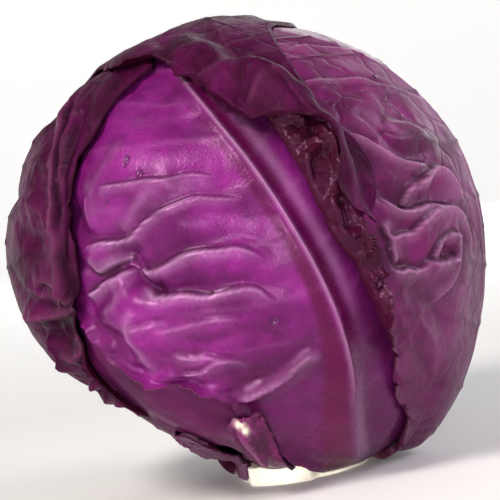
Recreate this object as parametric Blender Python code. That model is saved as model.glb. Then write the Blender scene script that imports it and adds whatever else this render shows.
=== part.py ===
"""A head of red cabbage, standing on its cut stem.

Each outer leaf is a thin shell wrapped round the head. Its outline is three curves of directions seen
from the head's centre: the midrib and the two margins, from the stem to the tip. A point of the leaf
is placed by a, which is 0 on the midrib and 1 on a margin, and by v, which is 0 at the stem and 1 at
the tip. Its height above the head's own form is a sum of the leaf's lift, midrib, puckers and ruffles.
The leaves are built from the innermost outwards, and each is draped over those already in place.
"""

import bpy
import numpy as np

# Units are metres. A direction is (azimuth, elevation) in degrees from the head's centre:
# azimuth 0 faces the front (-Y), 90 the right side (+X), 180 the back, and elevation 90 is the crown.
MM = 0.001
HEAD_RADIUS = 0.083
HEAD_CENTRE = np.array([-0.007, 0.0, 0.0842])

STEM_RADIUS = 0.0245
STEM_HEIGHT = 0.0132
STEM_SIDES = 40
STEM_WAVE = 0.0002
COLLAR_RADIUS = 0.0280
COLLAR_HEIGHT = 0.0074
COLLAR_SPAN = (-58.0, 9.0)
COLLAR_ENDS = (10.0, 8.0)
STEM_TAPER = 0.32
CUT_BEVEL = 0.0008

BLADE = 0.0012
LAYER_GAP = 0.0012
STEM_GAP = 0.0004
FLOOR_CLEARANCE = 0.0008
INNER_HEAD_DEPTH = 0.0088
INNER_HEAD_FLOOR = 0.0136
INNER_HEAD_SIDES = 30
INNER_HEAD_RINGS = [-78.0, *np.linspace(-68, 84, 15)]

# Shares of a leaf's length, from the stem: where its foot has become the free blade, where its thick root
# ends, where the midrib has risen to its full height, and where puckers and ruffles are full.
FOOT = 0.09
ROOT = 0.16
RIB_RISE = 0.1
PUCKER_RISE = 0.12
RUFFLE_RISE = 0.25
RIB_OUTSIDE = 0.6
RIB_FADE = 1.2
SHARP_ANGLE = 50

# Broad swellings and hollows of the head: azimuth, elevation, height, spread in degrees.
SWELLINGS = [
    (85, -58, 0.0090, 24),
    (-85, -50, -0.0105, 26),
    (-90, 4, 0.0012, 22),
    (-25, -74, -0.0040, 17),
    (170, -55, -0.0030, 30),
]

# The finish of each piece: colour and roughness.
FINISHES = {
    "stem": ((0.86, 0.78, 0.62), 0.55),
    "inner_head": ((0.10, 0.01, 0.06), 0.45),
    "lower_left_leaf": ((0.14, 0.02, 0.09), 0.40),
    "front_leaf": ((0.26, 0.03, 0.20), 0.35),
    "right_leaf": ((0.20, 0.03, 0.14), 0.38),
    "left_leaf": ((0.10, 0.03, 0.06), 0.50),
    "top_leaf": ((0.14, 0.03, 0.08), 0.48),
    "torn_leaf_base": ((0.19, 0.05, 0.14), 0.42),
    "cut_leaf_base": ((0.12, 0.02, 0.08), 0.42),
}

# The map of what lies below a leaf: cells across, how far a step is eased, points to a facet's side.
MAP_CELLS = 241
MAP_EASE = 2
MAP_FILL = 6


def unit(vectors):
    return vectors / np.linalg.norm(vectors, axis=-1, keepdims=True)


def towards(azimuth, elevation):
    """The unit vector at an azimuth and an elevation."""
    a, e = np.radians(azimuth), np.radians(elevation)
    return np.stack([np.sin(a) * np.cos(e), -np.cos(a) * np.cos(e), np.sin(e)], axis=-1)


def smooth(x):
    x = np.clip(x, 0.0, 1.0)
    return x * x * (3.0 - 2.0 * x)


def larger(a, b, ease=0.0006):
    """The larger of two heights, eased over the step between them."""
    return b + ease * np.logaddexp(0.0, (a - b) / ease)


def wave(x, seed, count):
    """A smooth random line through x from 0 to 1: four sines whose phases come from the seed."""
    random = np.random.default_rng(seed)
    phases = random.uniform(0, 2 * np.pi, 4)
    lengths = count * np.array([0.6, 1.0, 1.7, 2.6])
    weights = np.array([0.5, 1.0, 0.55, 0.3])
    return sum(w * np.sin(2 * np.pi * n * x + p) for w, n, p in zip(weights, lengths, phases)) / 1.4


def form(directions):
    """The head's own radius in each direction: a ball with broad swellings."""
    radius = np.full(directions.shape[:-1], HEAD_RADIUS)
    for azimuth, elevation, height, spread in SWELLINGS:
        angle = np.degrees(np.arccos(np.clip(directions @ towards(azimuth, elevation), -1, 1)))
        radius = radius + height * np.exp(-((angle / spread) ** 2))
    return radius


def stem_side(bearing, height):
    """The stem's radius at a bearing and a height: it tapers upwards, and the collar stands out of it."""
    turned = (bearing + 180) % 360 - 180
    low, high = COLLAR_SPAN
    collar = smooth((turned - low) / COLLAR_ENDS[0]) * smooth((high - turned) / COLLAR_ENDS[1])
    side = STEM_RADIUS - STEM_TAPER * height + STEM_WAVE * (np.sin(3 * np.radians(bearing)) - 1)
    return side + (COLLAR_RADIUS - side) * collar * (height <= COLLAR_HEIGHT)


def clear_of_stem(points):
    """Moves each point that is inside the stem straight out to its side."""
    across = np.hypot(points[..., 0], points[..., 1])
    bearing = np.degrees(np.arctan2(points[..., 0], -points[..., 1]))
    height = points[..., 2] - STEM_GAP * (points[..., 2] > COLLAR_HEIGHT)
    limit = np.where(points[..., 2] < STEM_HEIGHT + STEM_GAP, stem_side(bearing, height) + STEM_GAP, 0.0)
    grow = np.maximum(limit / np.maximum(across, 1e-6), 1.0)
    return points * np.stack([grow, grow, np.ones_like(grow)], -1)


def at_stem(bearing, height):
    """The direction of a point on the stem's side, at a bearing round the stem and a height."""
    b = np.radians(bearing)
    reach = STEM_RADIUS + STEM_GAP
    point = np.array([reach * np.sin(b), -reach * np.cos(b), height])
    return unit(point - HEAD_CENTRE)


def curve(points, count):
    """A smooth curve through directions, at equal steps: a Catmull-Rom spline, pulled onto the ball."""
    points = np.asarray(points, float)
    ends = np.vstack([2 * points[0] - points[1], points, 2 * points[-1] - points[-2]])
    t = np.linspace(0, 1, 12, endpoint=False)[:, None]
    pieces = []
    for p0, p1, p2, p3 in zip(ends[:-3], ends[1:-2], ends[2:-1], ends[3:]):
        pieces.append(
            0.5
            * (2 * p1 + (p2 - p0) * t + (2 * p0 - 5 * p1 + 4 * p2 - p3) * t**2 + (3 * p1 - p0 - 3 * p2 + p3) * t**3)
        )
    path = unit(np.vstack([*pieces, points[-1:]]))
    along = np.concatenate([[0], np.cumsum(np.linalg.norm(np.diff(path, axis=0), axis=1))])
    steps = np.linspace(0, along[-1], count)
    return unit(np.stack([np.interp(steps, along, path[:, k]) for k in range(3)], axis=1))


def between(start, end, share):
    """Directions along the great circle from start to end; share may pass 1."""
    angle = np.arccos(np.clip(np.sum(start * end, axis=-1, keepdims=True), -1, 1))
    sine = np.maximum(np.sin(angle), 1e-6)
    share = share[..., None]
    return unit(start * np.sin((1 - share) * angle) / sine + end * np.sin(share * angle) / sine)


def distance_to(directions, path):
    """How far each direction is from a path on the head, in metres, and where along it from 0 to 1."""
    line = curve([towards(*p) for p in path], 5 * len(path))
    best = np.full(directions.shape[:-1], np.inf)
    place = np.zeros(directions.shape[:-1])
    for k, (a, b) in enumerate(zip(line[:-1], line[1:])):
        step = b - a
        share = np.clip((directions - a) @ step / (step @ step), 0, 1)
        gap = np.linalg.norm(directions - a - share[..., None] * step, axis=-1)
        nearer = gap < best
        best = np.where(nearer, gap, best)
        place = np.where(nearer, (k + share) / (len(line) - 1), place)
    return best * HEAD_RADIUS, place


def relief(directions, features):
    """Ridges (+) and creases (-) along paths: height at the start and at the end, width, path."""
    height = np.zeros(directions.shape[:-1])
    for start, end, width, path in features:
        gap, place = distance_to(directions, path)
        height = height + (start + (end - start) * place) * MM * np.exp(-((gap / (width * MM)) ** 1.5))
    return height


def map_place(directions):
    """Where a direction falls on the map, which is flat and has the crown at its middle."""
    side = np.hypot(directions[..., 0], directions[..., 1])
    fall = np.arctan2(side, directions[..., 2]) / np.pi
    flat = directions[..., :2] * (fall / np.maximum(side, 1e-9))[..., None]
    return (flat + 1) / 2 * (MAP_CELLS - 1)


def filled(points):
    """The same grid with MAP_FILL points for each one along both ways, on its own facets."""
    for axis in (0, 1):
        count = points.shape[axis]
        place = np.linspace(0, count - 1, (count - 1) * MAP_FILL + 1)
        low = np.minimum(place.astype(int), count - 2)
        share = np.expand_dims(place - low, (1, 2) if axis == 0 else (0, 2))
        points = points.take(low, axis) * (1 - share) + points.take(low + 1, axis) * share
    return points


def lay_on(underlay, points):
    """Raises the map of what is in place to cover these points."""
    offsets = points.reshape(-1, 3) - HEAD_CENTRE
    radius = np.linalg.norm(offsets, axis=1)
    cells = np.rint(map_place(offsets / radius[:, None])).astype(int)
    np.maximum.at(underlay, (cells[:, 1], cells[:, 0]), radius)


def eased(underlay):
    """The map with each step widened and then blurred by the same distance, so it is never lower."""
    shifts = range(-MAP_EASE, MAP_EASE + 1)
    weights = [(MAP_EASE + 1 - abs(s)) / (MAP_EASE + 1) ** 2 for s in shifts]
    wide = underlay
    for axis in (0, 1):
        wide = np.max([np.roll(wide, s, axis) for s in shifts], axis=0)
    for axis in (0, 1):
        wide = sum(w * np.roll(wide, s, axis) for s, w in zip(shifts, weights))
    return wide


def below(underlay, directions):
    """The map's radius in each direction, read between its cells."""
    place = map_place(directions)
    low = np.clip(np.floor(place).astype(int), 0, MAP_CELLS - 2)
    share = place - low
    x, y = low[..., 0], low[..., 1]
    fx, fy = share[..., 0], share[..., 1]
    top = underlay[y, x] * (1 - fx) + underlay[y, x + 1] * fx
    bottom = underlay[y + 1, x] * (1 - fx) + underlay[y + 1, x + 1] * fx
    return top * (1 - fy) + bottom * fy


def along(table, v):
    """Reads a list of (v, value) pairs at v."""
    stations = [row[0] for row in table]
    return np.interp(v, stations, [row[1] for row in table])


def lift_of(table, a, v):
    """The leaf's lift in metres, from rows of (v, (left margin, left half, midrib, right half, right margin))."""
    stations = [row[0] for row in table]
    columns = [np.interp(v, stations, [row[1][k] for row in table]) for k in range(5)]
    place = (np.clip(a, -1, 1) + 1) * 2
    cell = np.clip(np.floor(place).astype(int), 0, 3)
    share = smooth(place - cell)
    height = np.stack(np.broadcast_arrays(*columns), axis=-1)
    low = np.take_along_axis(height, cell[..., None], -1)[..., 0]
    high = np.take_along_axis(height, cell[..., None] + 1, -1)[..., 0]
    return (low * (1 - share) + high * share) * MM


# The leaves, innermost first. base holds the bearings round the stem of the left corner, the midrib and the
# right corner, and the heights of the outer face there. hem holds, for each side, how the margin curls
# outwards: turn in degrees, radius and length in mm, each as (v, value) pairs.
FLAT_HEM = {"turn": [(0, 0), (1, 10)], "length": [(0, 0.6), (0.12, 1.5), (1, 1.5)], "radius": 1.5, "crumple": 0.0}

LEAVES = [
    {
        "name": "lower_left_leaf",
        "grid": (16, (5, 4), (1, 1)),
        "base": ((-70, 10.0), (-30, 10.2), (16, 10.2)),
        "root": 1.8,
        "left": [(-19, -57), (-29, -47), (-40, -38), (-48, -28), (-53, -16), (-58, -3), (-60, 8)],
        "mid": [(-14, -51), (-25, -42), (-35, -32), (-43, -20), (-48, -8), (-52, 5), (-55, 16)],
        "right": [(8, -52), (2, -42), (-8, -30), (-20, -18), (-32, -6), (-43, 6), (-49, 13)],
        "rib": (3.0, 15.0),
        "lift": [
            (0.0, (0.0, 0.0, 0.0, 0.0, 0.0)),
            (0.2, (-0.5, 0.0, 0.0, -2.0, -4.5)),
            (0.5, (-0.5, 0.0, -0.5, -3.5, -6.0)),
            (0.7, (-1.0, -1.5, -3.0, -5.0, -6.0)),
            (1.0, (-5.0, -5.0, -5.0, -6.0, -6.0)),
        ],
        "ruffle": ((0.6, 0.0), 5, 3),
        "features": [],
        "hems": (FLAT_HEM, FLAT_HEM),
    },
    {
        "name": "front_leaf",
        "grid": (58, (10, 5), (2, 1)),
        "base": ((16, 1.4), (42, 1.2), (68, 1.2)),
        "root": 3.0,
        "left": [
            (6, -62), (-2, -54), (-6, -46), (-7, -38), (-12, -31), (-20, -26), (-30, -23), (-38, -18), (-44, -11),
            (-53, 0), (-58, 15), (-60, 32), (-60, 47), (-60, 60), (-66, 71),
        ],
        "mid": [
            (27, -52), (23, -40), (21, -28), (18, -16), (14, -3), (9, 11), (4, 23), (-3, 36), (-11, 48),
            (-22, 60), (-40, 69), (-66, 75),
        ],
        "right": [
            (66, -64), (60, -55), (56, -42), (52, -30), (48, -18), (45, -5), (42, 8), (39, 22), (36, 36), (30, 50),
            (14, 64), (-20, 75), (-66, 79),
        ],
        "rib": (9.0, 8.5),
        "lift": [
            (0.0, (0.0, 0.0, 0.0, 0.0, 0.0)),
            (0.12, (-1.0, -0.5, 0.0, 0.0, -2.0)),
            (0.22, (-1.0, -2.5, -1.0, -1.0, -4.0)),
            (0.3, (2.0, 1.5, -0.5, -2.5, -6.0)),
            (0.5, (0.5, 2.5, 0.0, -2.5, -6.2)),
            (0.7, (-4.5, 2.5, -0.5, -2.5, -6.2)),
            (0.85, (-6.0, 1.5, -1.0, -3.0, -6.2)),
            (1.0, (-6.2, -3.0, -2.5, -4.0, -6.2)),
        ],
        "ruffle": ((2.2, 0.0), 9, 11),
        "features": [
            (-7.0, -3.5, 5.5, [(-44, 24), (-36, 20), (-30, 20), (-22, 25), (-10, 26)]),
            (-7.5, -3.5, 5.5, [(-45, 13), (-38, 8), (-29, 7), (-21, 12), (-11, 16), (0, 15)]),
            (-7.5, -3.5, 5.5, [(-38, 2), (-28, 2), (-19, 4), (-8, 6), (5, 1)]),
            (-7.0, -3.0, 5.5, [(-31, -5), (-22, -6), (-9, -5), (6, -12)]),
            (-6.0, -4.0, 5.0, [(-27, -4), (-32, -10), (-32, -17), (-29, -24)]),
            (-4.5, -2.5, 5.0, [(-26, -14), (-16, -14), (-4, -15), (6, -18)]),
            (-4.5, -2.5, 6.0, [(-42, 38), (-30, 36), (-18, 37), (-8, 38)]),
            (-4.0, -2.0, 6.0, [(-34, 50), (-24, 46), (-14, 48)]),
            (4.5, 2.5, 6.0, [(-11, -26), (0, -27), (8, -24), (12, -20)]),
            (-6.5, -2.5, 5.5, [(-12, -34), (0, -35), (9, -30), (15, -24)]),
            (-4.0, -3.0, 7.0, [(37, -30), (34, -18), (28, -4), (22, 10), (15, 24), (7, 36)]),
        ],
        "hems": (
            {
                "turn": [(0, 0), (0.12, 20), (0.2, 50), (0.42, 60), (0.5, 10), (1, 10)],
                "length": [(0, 0.6), (0.12, 2), (0.2, 4), (0.42, 4.5), (0.5, 1.5), (1, 1.5)],
                "radius": 2.2,
                "crumple": 1.2,
            },
            FLAT_HEM,
        ),
    },
    {
        "name": "right_leaf",
        "grid": (46, (12, 5), (4, 1)),
        "base": ((83, 1.2), (105, 1.2), (128, 1.4)),
        "root": 4.0,
        "left": [
            (76, -64), (68, -55), (60, -46), (48, -39), (41, -34), (39, -28), (38, -23), (32, -20), (28, -14),
            (27, -8), (25, -3), (21, 3), (19, 11), (17, 20), (14, 31), (9, 43), (0, 55), (-14, 66), (-30, 74),
        ],
        "mid": [
            (86, -62), (84, -50), (80, -36), (78, -22), (77, -8), (76, 8), (74, 24), (68, 40), (55, 56),
            (25, 70), (-25, 79),
        ],
        "right": [
            (124, -62), (128, -48), (134, -34), (138, -18), (140, 0), (140, 18), (140, 36), (140, 54),
            (140, 70), (120, 84), (-20, 84),
        ],
        "rib": (7.0, 13.0),
        "lift": [
            (0.0, (0.0, 0.0, 0.0, 0.0, 0.0)),
            (0.15, (1.5, 2.0, 0.5, -0.5, -1.0)),
            (0.3, (1.5, 3.0, 1.0, -0.5, -2.0)),
            (0.5, (0.5, 3.0, 1.5, 0.0, -3.0)),
            (0.7, (0.0, 1.5, 0.5, -0.5, -4.5)),
            (0.85, (-1.0, 0.0, 0.0, -2.0, -4.5)),
            (1.0, (-3.5, -2.0, -2.0, -3.0, -4.5)),
        ],
        "ruffle": ((1.2, 0.0), 8, 21),
        "features": [
            (3.0, 2.5, 5.0, [(35, 23), (43, 20), (50, 14), (56, 13), (61, 8), (66, -4)]),
            (3.0, 2.0, 5.0, [(38, 9), (44, 3), (52, 3), (59, 3), (66, -6), (69, -22)]),
            (2.5, 2.0, 5.0, [(42, -1), (44, -8), (50, -11), (60, -10)]),
            (2.5, 2.0, 5.0, [(44, -22), (50, -25), (56, -24), (63, -28)]),
            (-3.5, -2.5, 6.0, [(38, 16), (46, 11), (55, 8)]),
            (-3.5, -3.0, 5.0, [(47, -4), (54, -4), (61, -4)]),
            (-4.0, -3.0, 6.0, [(42, -14), (50, -17), (60, -18)]),
            (-3.5, -2.5, 6.0, [(45, -32), (52, -35), (58, -40)]),
            (-3.0, -1.5, 6.0, [(34, 34), (46, 28), (64, 22)]),
            (-2.5, -1.5, 6.0, [(28, 46), (44, 44), (62, 36), (78, 30)]),
            (-3.0, -1.5, 6.0, [(92, -32), (108, -16), (124, 2)]),
            (-3.0, -1.5, 6.0, [(90, -4), (104, 12), (120, 30)]),
            (-3.0, -1.5, 6.0, [(86, 22), (96, 40), (112, 54)]),
        ],
        "hems": (
            {
                "turn": [(0, 10), (0.2, 30), (0.3, 60), (0.36, 150), (0.7, 160), (0.82, 60), (1, 10)],
                "length": [(0, 2), (0.2, 5), (0.3, 8), (0.4, 15), (0.6, 19), (0.75, 14), (0.85, 4), (1, 1.5)],
                "radius": 1.9,
                "crumple": 1.3,
            },
            FLAT_HEM,
        ),
    },
    {
        "name": "left_leaf",
        "grid": (36, (5, 10), (1, 2)),
        "base": ((-148, 1.4), (-122, 1.4), (-97, 1.4)),
        "root": 4.0,
        "left": [
            (-150, -62), (-148, -48), (-144, -34), (-140, -18), (-138, 0), (-137, 18), (-134, 36),
            (-126, 52), (-100, 66), (-66, 71), (-44, 67),
        ],
        "mid": [
            (-116, -61), (-112, -46), (-104, -32), (-97, -16), (-92, 0), (-89, 16), (-84, 32), (-74, 48),
            (-56, 60), (-32, 61),
        ],
        "right": [
            (-74, -66), (-58, -58), (-47, -50), (-51, -42), (-57, -33), (-58, -24), (-54, -15), (-49, -7), (-46, 1),
            (-46, 11), (-48, 21), (-46, 31), (-41, 40), (-35, 50), (-28, 57),
        ],
        "rib": (7.0, 12.0),
        "lift": [
            (0.0, (0.0, 0.0, 0.0, 0.0, 0.0)),
            (0.15, (-1.0, 0.0, 0.0, -2.5, -4.0)),
            (0.3, (-2.0, 0.0, 0.0, -2.0, -2.0)),
            (0.38, (-2.0, 0.0, 1.0, 1.5, 1.0)),
            (0.5, (-2.5, 0.5, 2.5, 3.0, 0.5)),
            (0.75, (-2.5, 0.5, 3.0, 4.0, 0.5)),
            (0.9, (-2.0, 0.0, 1.0, 1.5, 0.5)),
            (1.0, (-1.0, 0.0, 0.5, 0.5, 0.0)),
        ],
        "ruffle": ((0.0, 1.6), 9, 31),
        "features": [
            (1.0, 3.0, 5.0, [(-58, 56), (-57, 48), (-55, 38), (-53, 27), (-51, 15), (-50, 4), (-52, -7)]),
            (-3.0, -2.0, 5.0, [(-60, 34), (-72, 42), (-84, 44)]),
            (-3.0, -2.0, 5.0, [(-58, 12), (-70, 16), (-84, 22)]),
            (-3.5, -2.0, 4.5, [(-56, -4), (-66, -2), (-80, 4)]),
            (-4.0, -2.5, 4.5, [(-53, -14), (-62, -12), (-74, -10)]),
            (3.5, 2.5, 4.0, [(-54, -20), (-62, -18), (-72, -20)]),
            (-4.0, -2.5, 4.0, [(-56, -27), (-64, -25), (-74, -28)]),
            (3.0, 2.0, 4.0, [(-54, -34), (-62, -33), (-70, -38)]),
            (-3.0, -1.5, 6.0, [(-94, -34), (-112, -18), (-128, 0)]),
            (-3.0, -1.5, 6.0, [(-92, -4), (-108, 12), (-124, 28)]),
            (-3.0, -1.5, 6.0, [(-88, 24), (-102, 38), (-118, 50)]),
        ],
        "hems": (
            FLAT_HEM,
            {
                "turn": [(0, 0), (0.2, 10), (0.3, 50), (0.36, 120), (0.46, 100), (0.52, 20), (1, 20)],
                "length": [(0, 0.6), (0.22, 2), (0.34, 5), (0.44, 5), (0.52, 2), (1, 1.5)],
                "radius": 1.6,
                "crumple": 0.8,
            },
        ),
    },
    {
        "name": "top_leaf",
        "grid": (38, (9, 7), (2, 1)),
        "base": ((-162, 1.4), (180, 1.4), (136, 1.4)),
        "root": 4.0,
        "left": [
            (-162, -64), (-152, -50), (-136, -35), (-127, -18), (-123, 0), (-121, 18), (-117, 36),
            (-106, 50), (-82, 60), (-56, 60), (-42, 57), (-28, 59), (-18, 57), (-13, 52), (-8, 50), (-3, 45),
            (1, 41), (4, 37), (8, 34), (13, 31), (18, 29), (21, 26), (23, 20), (23, 13), (23, 8),
        ],
        "mid": [
            (178, -60), (180, -46), (182, -30), (184, -12), (186, 6), (188, 24), (190, 42), (192, 60),
            (200, 78), (5, 84), (5, 70), (7, 56), (12, 44), (17, 34), (22, 25), (24, 16), (24, 7),
        ],
        "right": [
            (140, -62), (136, -48), (130, -34), (126, -18), (124, 0), (124, 18), (124, 36), (122, 52),
            (114, 66), (74, 76), (32, 72), (28, 60), (26, 50), (24, 41), (22, 34), (24, 28), (26, 22),
            (27, 15), (26, 9), (24, 5),
        ],
        "rib": (6.0, 11.0),
        "lift": [
            (0.0, (0.0, 0.0, 0.0, 0.0, 0.0)),
            (0.06, (2.5, 1.0, 0.5, 0.0, -0.5)),
            (0.1, (2.5, 1.0, 0.5, 0.0, -0.5)),
            (0.3, (1.5, 1.0, 1.0, 1.0, 1.5)),
            (0.5, (3.0, 2.0, 1.5, 2.0, 3.0)),
            (0.6, (2.0, 1.0, 1.5, 2.0, 2.0)),
            (0.7, (2.0, 1.0, 1.0, 2.0, 2.0)),
            (0.85, (3.5, 2.0, 1.5, 2.0, 2.0)),
            (1.0, (2.0, 2.0, 2.0, 2.0, 2.0)),
        ],
        "ruffle": ((1.4, 1.0), 12, 41),
        "features": [
            (-3.5, -1.5, 5.0, [(172, -34), (154, -22), (132, -8)]),
            (-3.5, -1.5, 5.0, [(190, -34), (208, -22), (228, -8)]),
            (-3.5, -1.5, 5.0, [(174, -8), (154, 6), (130, 20)]),
            (-3.5, -1.5, 5.0, [(196, -6), (214, 8), (234, 22)]),
            (-3.0, -1.2, 5.0, [(176, 20), (152, 34), (128, 46)]),
            (-3.0, -1.2, 5.0, [(200, 24), (222, 38), (250, 50)]),
            (-2.5, -1.2, 5.0, [(180, 48), (150, 62), (110, 74)]),
            (-2.0, -1.2, 4.0, [(24, 58), (8, 58), (-10, 64), (-30, 66)]),
            (-2.0, -1.2, 4.0, [(22, 48), (10, 46), (-2, 51)]),
            (-2.0, -1.2, 4.0, [(20, 38), (13, 36), (8, 38)]),
        ],
        "hems": (
            {
                "turn": [(0, 0), (0.7, 10), (0.76, 60), (0.9, 45), (1, 20)],
                "length": [(0, 0.6), (0.12, 1.5), (0.7, 1.5), (0.76, 3.5), (0.9, 3), (1, 2)],
                "radius": 2.0,
                "crumple": 1.2,
            },
            FLAT_HEM,
        ),
    },
    {
        "name": "torn_leaf_base",
        "grid": (8, (3, 3), (1, 1)),
        "base": ((-24, 7.8), (-17, 7.8), (-10, 7.8)),
        "root": 1.4,
        "left": [(-12, -57), (-14, -47), (-13, -36)],
        "mid": [(-8, -57), (-9, -46), (-9, -34)],
        "right": [(-3, -56), (-4, -46), (-5, -35)],
        "rib": (3.0, 5.0),
        "lift": [
            (0.0, (0.0, 0.0, 0.0, 0.0, 0.0)),
            (0.5, (1.0, 1.5, 2.0, 1.5, 1.0)),
            (1.0, (2.5, 3.5, 3.5, 3.0, 2.5)),
        ],
        "ruffle": ((0.5, 0.5), 2, 51),
        "features": [],
        "hems": (FLAT_HEM, FLAT_HEM),
    },
    {
        "name": "cut_leaf_base",
        "grid": (8, (3, 3), (1, 1)),
        "base": ((-82, 1.0), (-72, 1.0), (-63, 1.0)),
        "root": 2.6,
        "left": [(-56, -66), (-48, -58), (-43, -50), (-41, -45)],
        "mid": [(-42, -64), (-38, -56), (-36, -49), (-37, -43)],
        "right": [(-28, -61), (-28, -53), (-30, -47), (-33, -43)],
        "rib": (2.5, 8.0),
        "lift": [
            (0.0, (0.0, 0.0, 0.0, 0.0, 0.0)),
            (0.5, (1.0, 2.0, 2.0, 1.5, 1.0)),
            (1.0, (1.0, 1.5, 2.0, 1.5, 1.0)),
        ],
        "ruffle": ((0.5, 0.5), 2, 61),
        "features": [],
        "hems": (FLAT_HEM, FLAT_HEM),
    },
]


def outline(leaf, rows):
    """The leaf's three curves: left margin, midrib and right margin, from the stem to the tip."""
    curves = []
    for (bearing, height), side in zip(leaf["base"], ("left", "mid", "right")):
        points = [at_stem(bearing, height * MM)] + [towards(*p) for p in leaf[side]]
        curves.append(curve(points, rows))
    return curves


def columns_of(leaf, lengths, v, blade_columns, hem_columns):
    """For each row and column: the place a, the hem's lift, and how far into the hem the point is."""
    places, lifts, hems = [], [], []
    sides = zip((-1, 1), leaf["hems"], lengths, blade_columns, hem_columns)
    for sign, hem, length, blade_count, hem_count in sides:
        turn = np.radians(along(hem["turn"], v))
        reach = along(hem["length"], v) * MM
        radius = hem["radius"] * MM
        blade = np.linspace(0, 1, blade_count + 1)[None, :] + 0 * v[:, None]
        share = np.linspace(0, 1, hem_count + 1)[None, 1:]
        arc = share * reach[:, None]
        bent = np.minimum(arc / radius, turn[:, None])
        rest = arc - radius * bent
        out = radius * np.sin(bent) + rest * np.cos(bent)
        up = radius * (1 - np.cos(bent)) + rest * np.sin(bent)
        crease = wave(v[:, None] + 0.35 * share, 7, 9) * share * hem["crumple"] * MM
        place = np.hstack([blade, 1 + out / np.maximum(length[:, None], 4 * MM)])
        lift = np.hstack([0 * blade, up + crease])
        into = np.hstack([0 * blade, share + 0 * arc])
        if sign < 0:
            place, lift, into = -place[:, :0:-1], lift[:, :0:-1], into[:, :0:-1]
        places.append(place)
        lifts.append(lift)
        hems.append(into)
    return np.hstack(places), np.hstack(lifts), np.hstack(hems)


def surface(leaf, underlay, rows, blade_columns, hem_columns):
    """The leaf's outer and inner faces, as two grids of points."""
    v = np.linspace(0, 1, rows)
    left, mid, right = outline(leaf, rows)
    lengths = [
        HEAD_RADIUS * np.arccos(np.clip(np.sum(mid * side, axis=1), -1, 1)) for side in (left, right)
    ]
    a, hem_lift, into_hem = columns_of(leaf, lengths, v, blade_columns, hem_columns)
    grid_v = v[:, None] + 0 * a
    margin = np.where((a < 0)[..., None], left[:, None], right[:, None])
    directions = between(mid[:, None] + 0 * margin, margin, np.abs(a))
    across = np.abs(a) * np.where(a < 0, lengths[0][:, None], lengths[1][:, None])

    rib_height, rib_width = leaf["rib"]
    rib = np.exp(-((across / (rib_width * MM * (1.25 - grid_v))) ** 2)) * (1 - grid_v) ** RIB_FADE
    root = smooth(1 - grid_v / ROOT)
    rib_thickness = (rib_height * MM - BLADE) * rib * (1 - smooth(1 - grid_v / RIB_RISE))
    thickness = BLADE + np.maximum(rib_thickness, (leaf["root"] * MM - BLADE) * root)
    sizes, count, seed = leaf["ruffle"]
    fullness = smooth(grid_v / RUFFLE_RISE) * np.minimum(np.abs(a), 1) ** 6
    size = np.where(a < 0, sizes[0], sizes[1]) * MM
    ruffle = size * wave(grid_v + 0.07 * np.sign(a), seed, count) * fullness
    height = (
        form(directions)
        + lift_of(leaf["lift"], a, grid_v)
        + RIB_OUTSIDE * rib_height * MM * rib * smooth(grid_v / RIB_RISE)
        + relief(directions, leaf["features"]) * smooth(grid_v / PUCKER_RISE)
        + ruffle
    )
    height = larger(height, below(underlay, directions) + LAYER_GAP + thickness)
    falls = [HEAD_CENTRE[2] - base_height * MM for _, base_height in leaf["base"]]
    starts = [fall / -side[0, 2] for fall, side in zip(falls, (left, mid, right))]
    start = np.interp(a, (-1, 0, 1), starts)
    height = start + (height - start) * smooth(grid_v / FOOT)
    level = (HEAD_CENTRE[2] - FLOOR_CLEARANCE) / np.maximum(-directions[..., 2], 0.3)
    height = np.minimum(height, level)
    outer = HEAD_CENTRE + directions * (height + hem_lift)[..., None]

    down = np.gradient(outer, axis=0)
    over = np.gradient(outer, axis=1)
    normals = unit(np.cross(over, down) + 1e-12)
    middle = hem_columns[0] + blade_columns[0]
    facing = np.sign(np.sum(normals[:, middle] * directions[:, middle]))
    bend = smooth(into_hem * 3)[..., None]
    inwards = unit(directions * (1 - bend) + facing * normals * bend)
    inner = outer - inwards * thickness[..., None]
    return clear_of_stem(outer), clear_of_stem(inner)


def shell_mesh(name, outer, inner):
    """One closed mesh from two grids of points, split into triangles alike on both faces."""
    rows, columns = outer.shape[:2]
    index = np.arange(rows * columns).reshape(rows, columns)
    a, b, c, d = index[:-1, :-1], index[1:, :-1], index[1:, 1:], index[:-1, 1:]
    one = np.stack([a, b, c], -1).reshape(-1, 3)
    two = np.stack([a, c, d], -1).reshape(-1, 3)
    outside = np.vstack([one, two])
    inside = outside[:, ::-1] + rows * columns
    rim = np.concatenate([index[0, :-1], index[:-1, -1], index[-1, :0:-1], index[:0:-1, 0]])
    following = np.roll(rim, -1)
    under = rows * columns
    wall = np.vstack(
        [
            np.stack([rim, following, following + under], -1),
            np.stack([rim, following + under, rim + under], -1),
        ]
    )
    points = np.vstack([outer.reshape(-1, 3), inner.reshape(-1, 3)])
    faces = np.vstack([outside, inside, wall])
    corners = points[faces]
    volume = np.einsum("ij,ij->i", corners[:, 0], np.cross(corners[:, 1], corners[:, 2])).sum()
    if volume < 0:
        faces = faces[:, ::-1]
    mesh = bpy.data.meshes.new(name)
    mesh.from_pydata(points.tolist(), [], faces.tolist())
    return mesh


def material(name, colour, roughness):
    """A plain finish: colour, roughness, no metal."""
    made = bpy.data.materials.new(name)
    made.use_nodes = True
    shader = made.node_tree.nodes["Principled BSDF"]
    shader.inputs["Base Color"].default_value = (*colour, 1.0)
    shader.inputs["Roughness"].default_value = roughness
    shader.inputs["Metallic"].default_value = 0.0
    return made


def place(mesh, finish):
    """Adds the mesh to the scene as one named, smooth-shaded object."""
    mesh.materials.append(finish)
    mesh.shade_smooth()
    mesh.set_sharp_from_angle(angle=np.radians(SHARP_ANGLE))
    piece = bpy.data.objects.new(mesh.name, mesh)
    bpy.context.scene.collection.objects.link(piece)
    return piece


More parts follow.
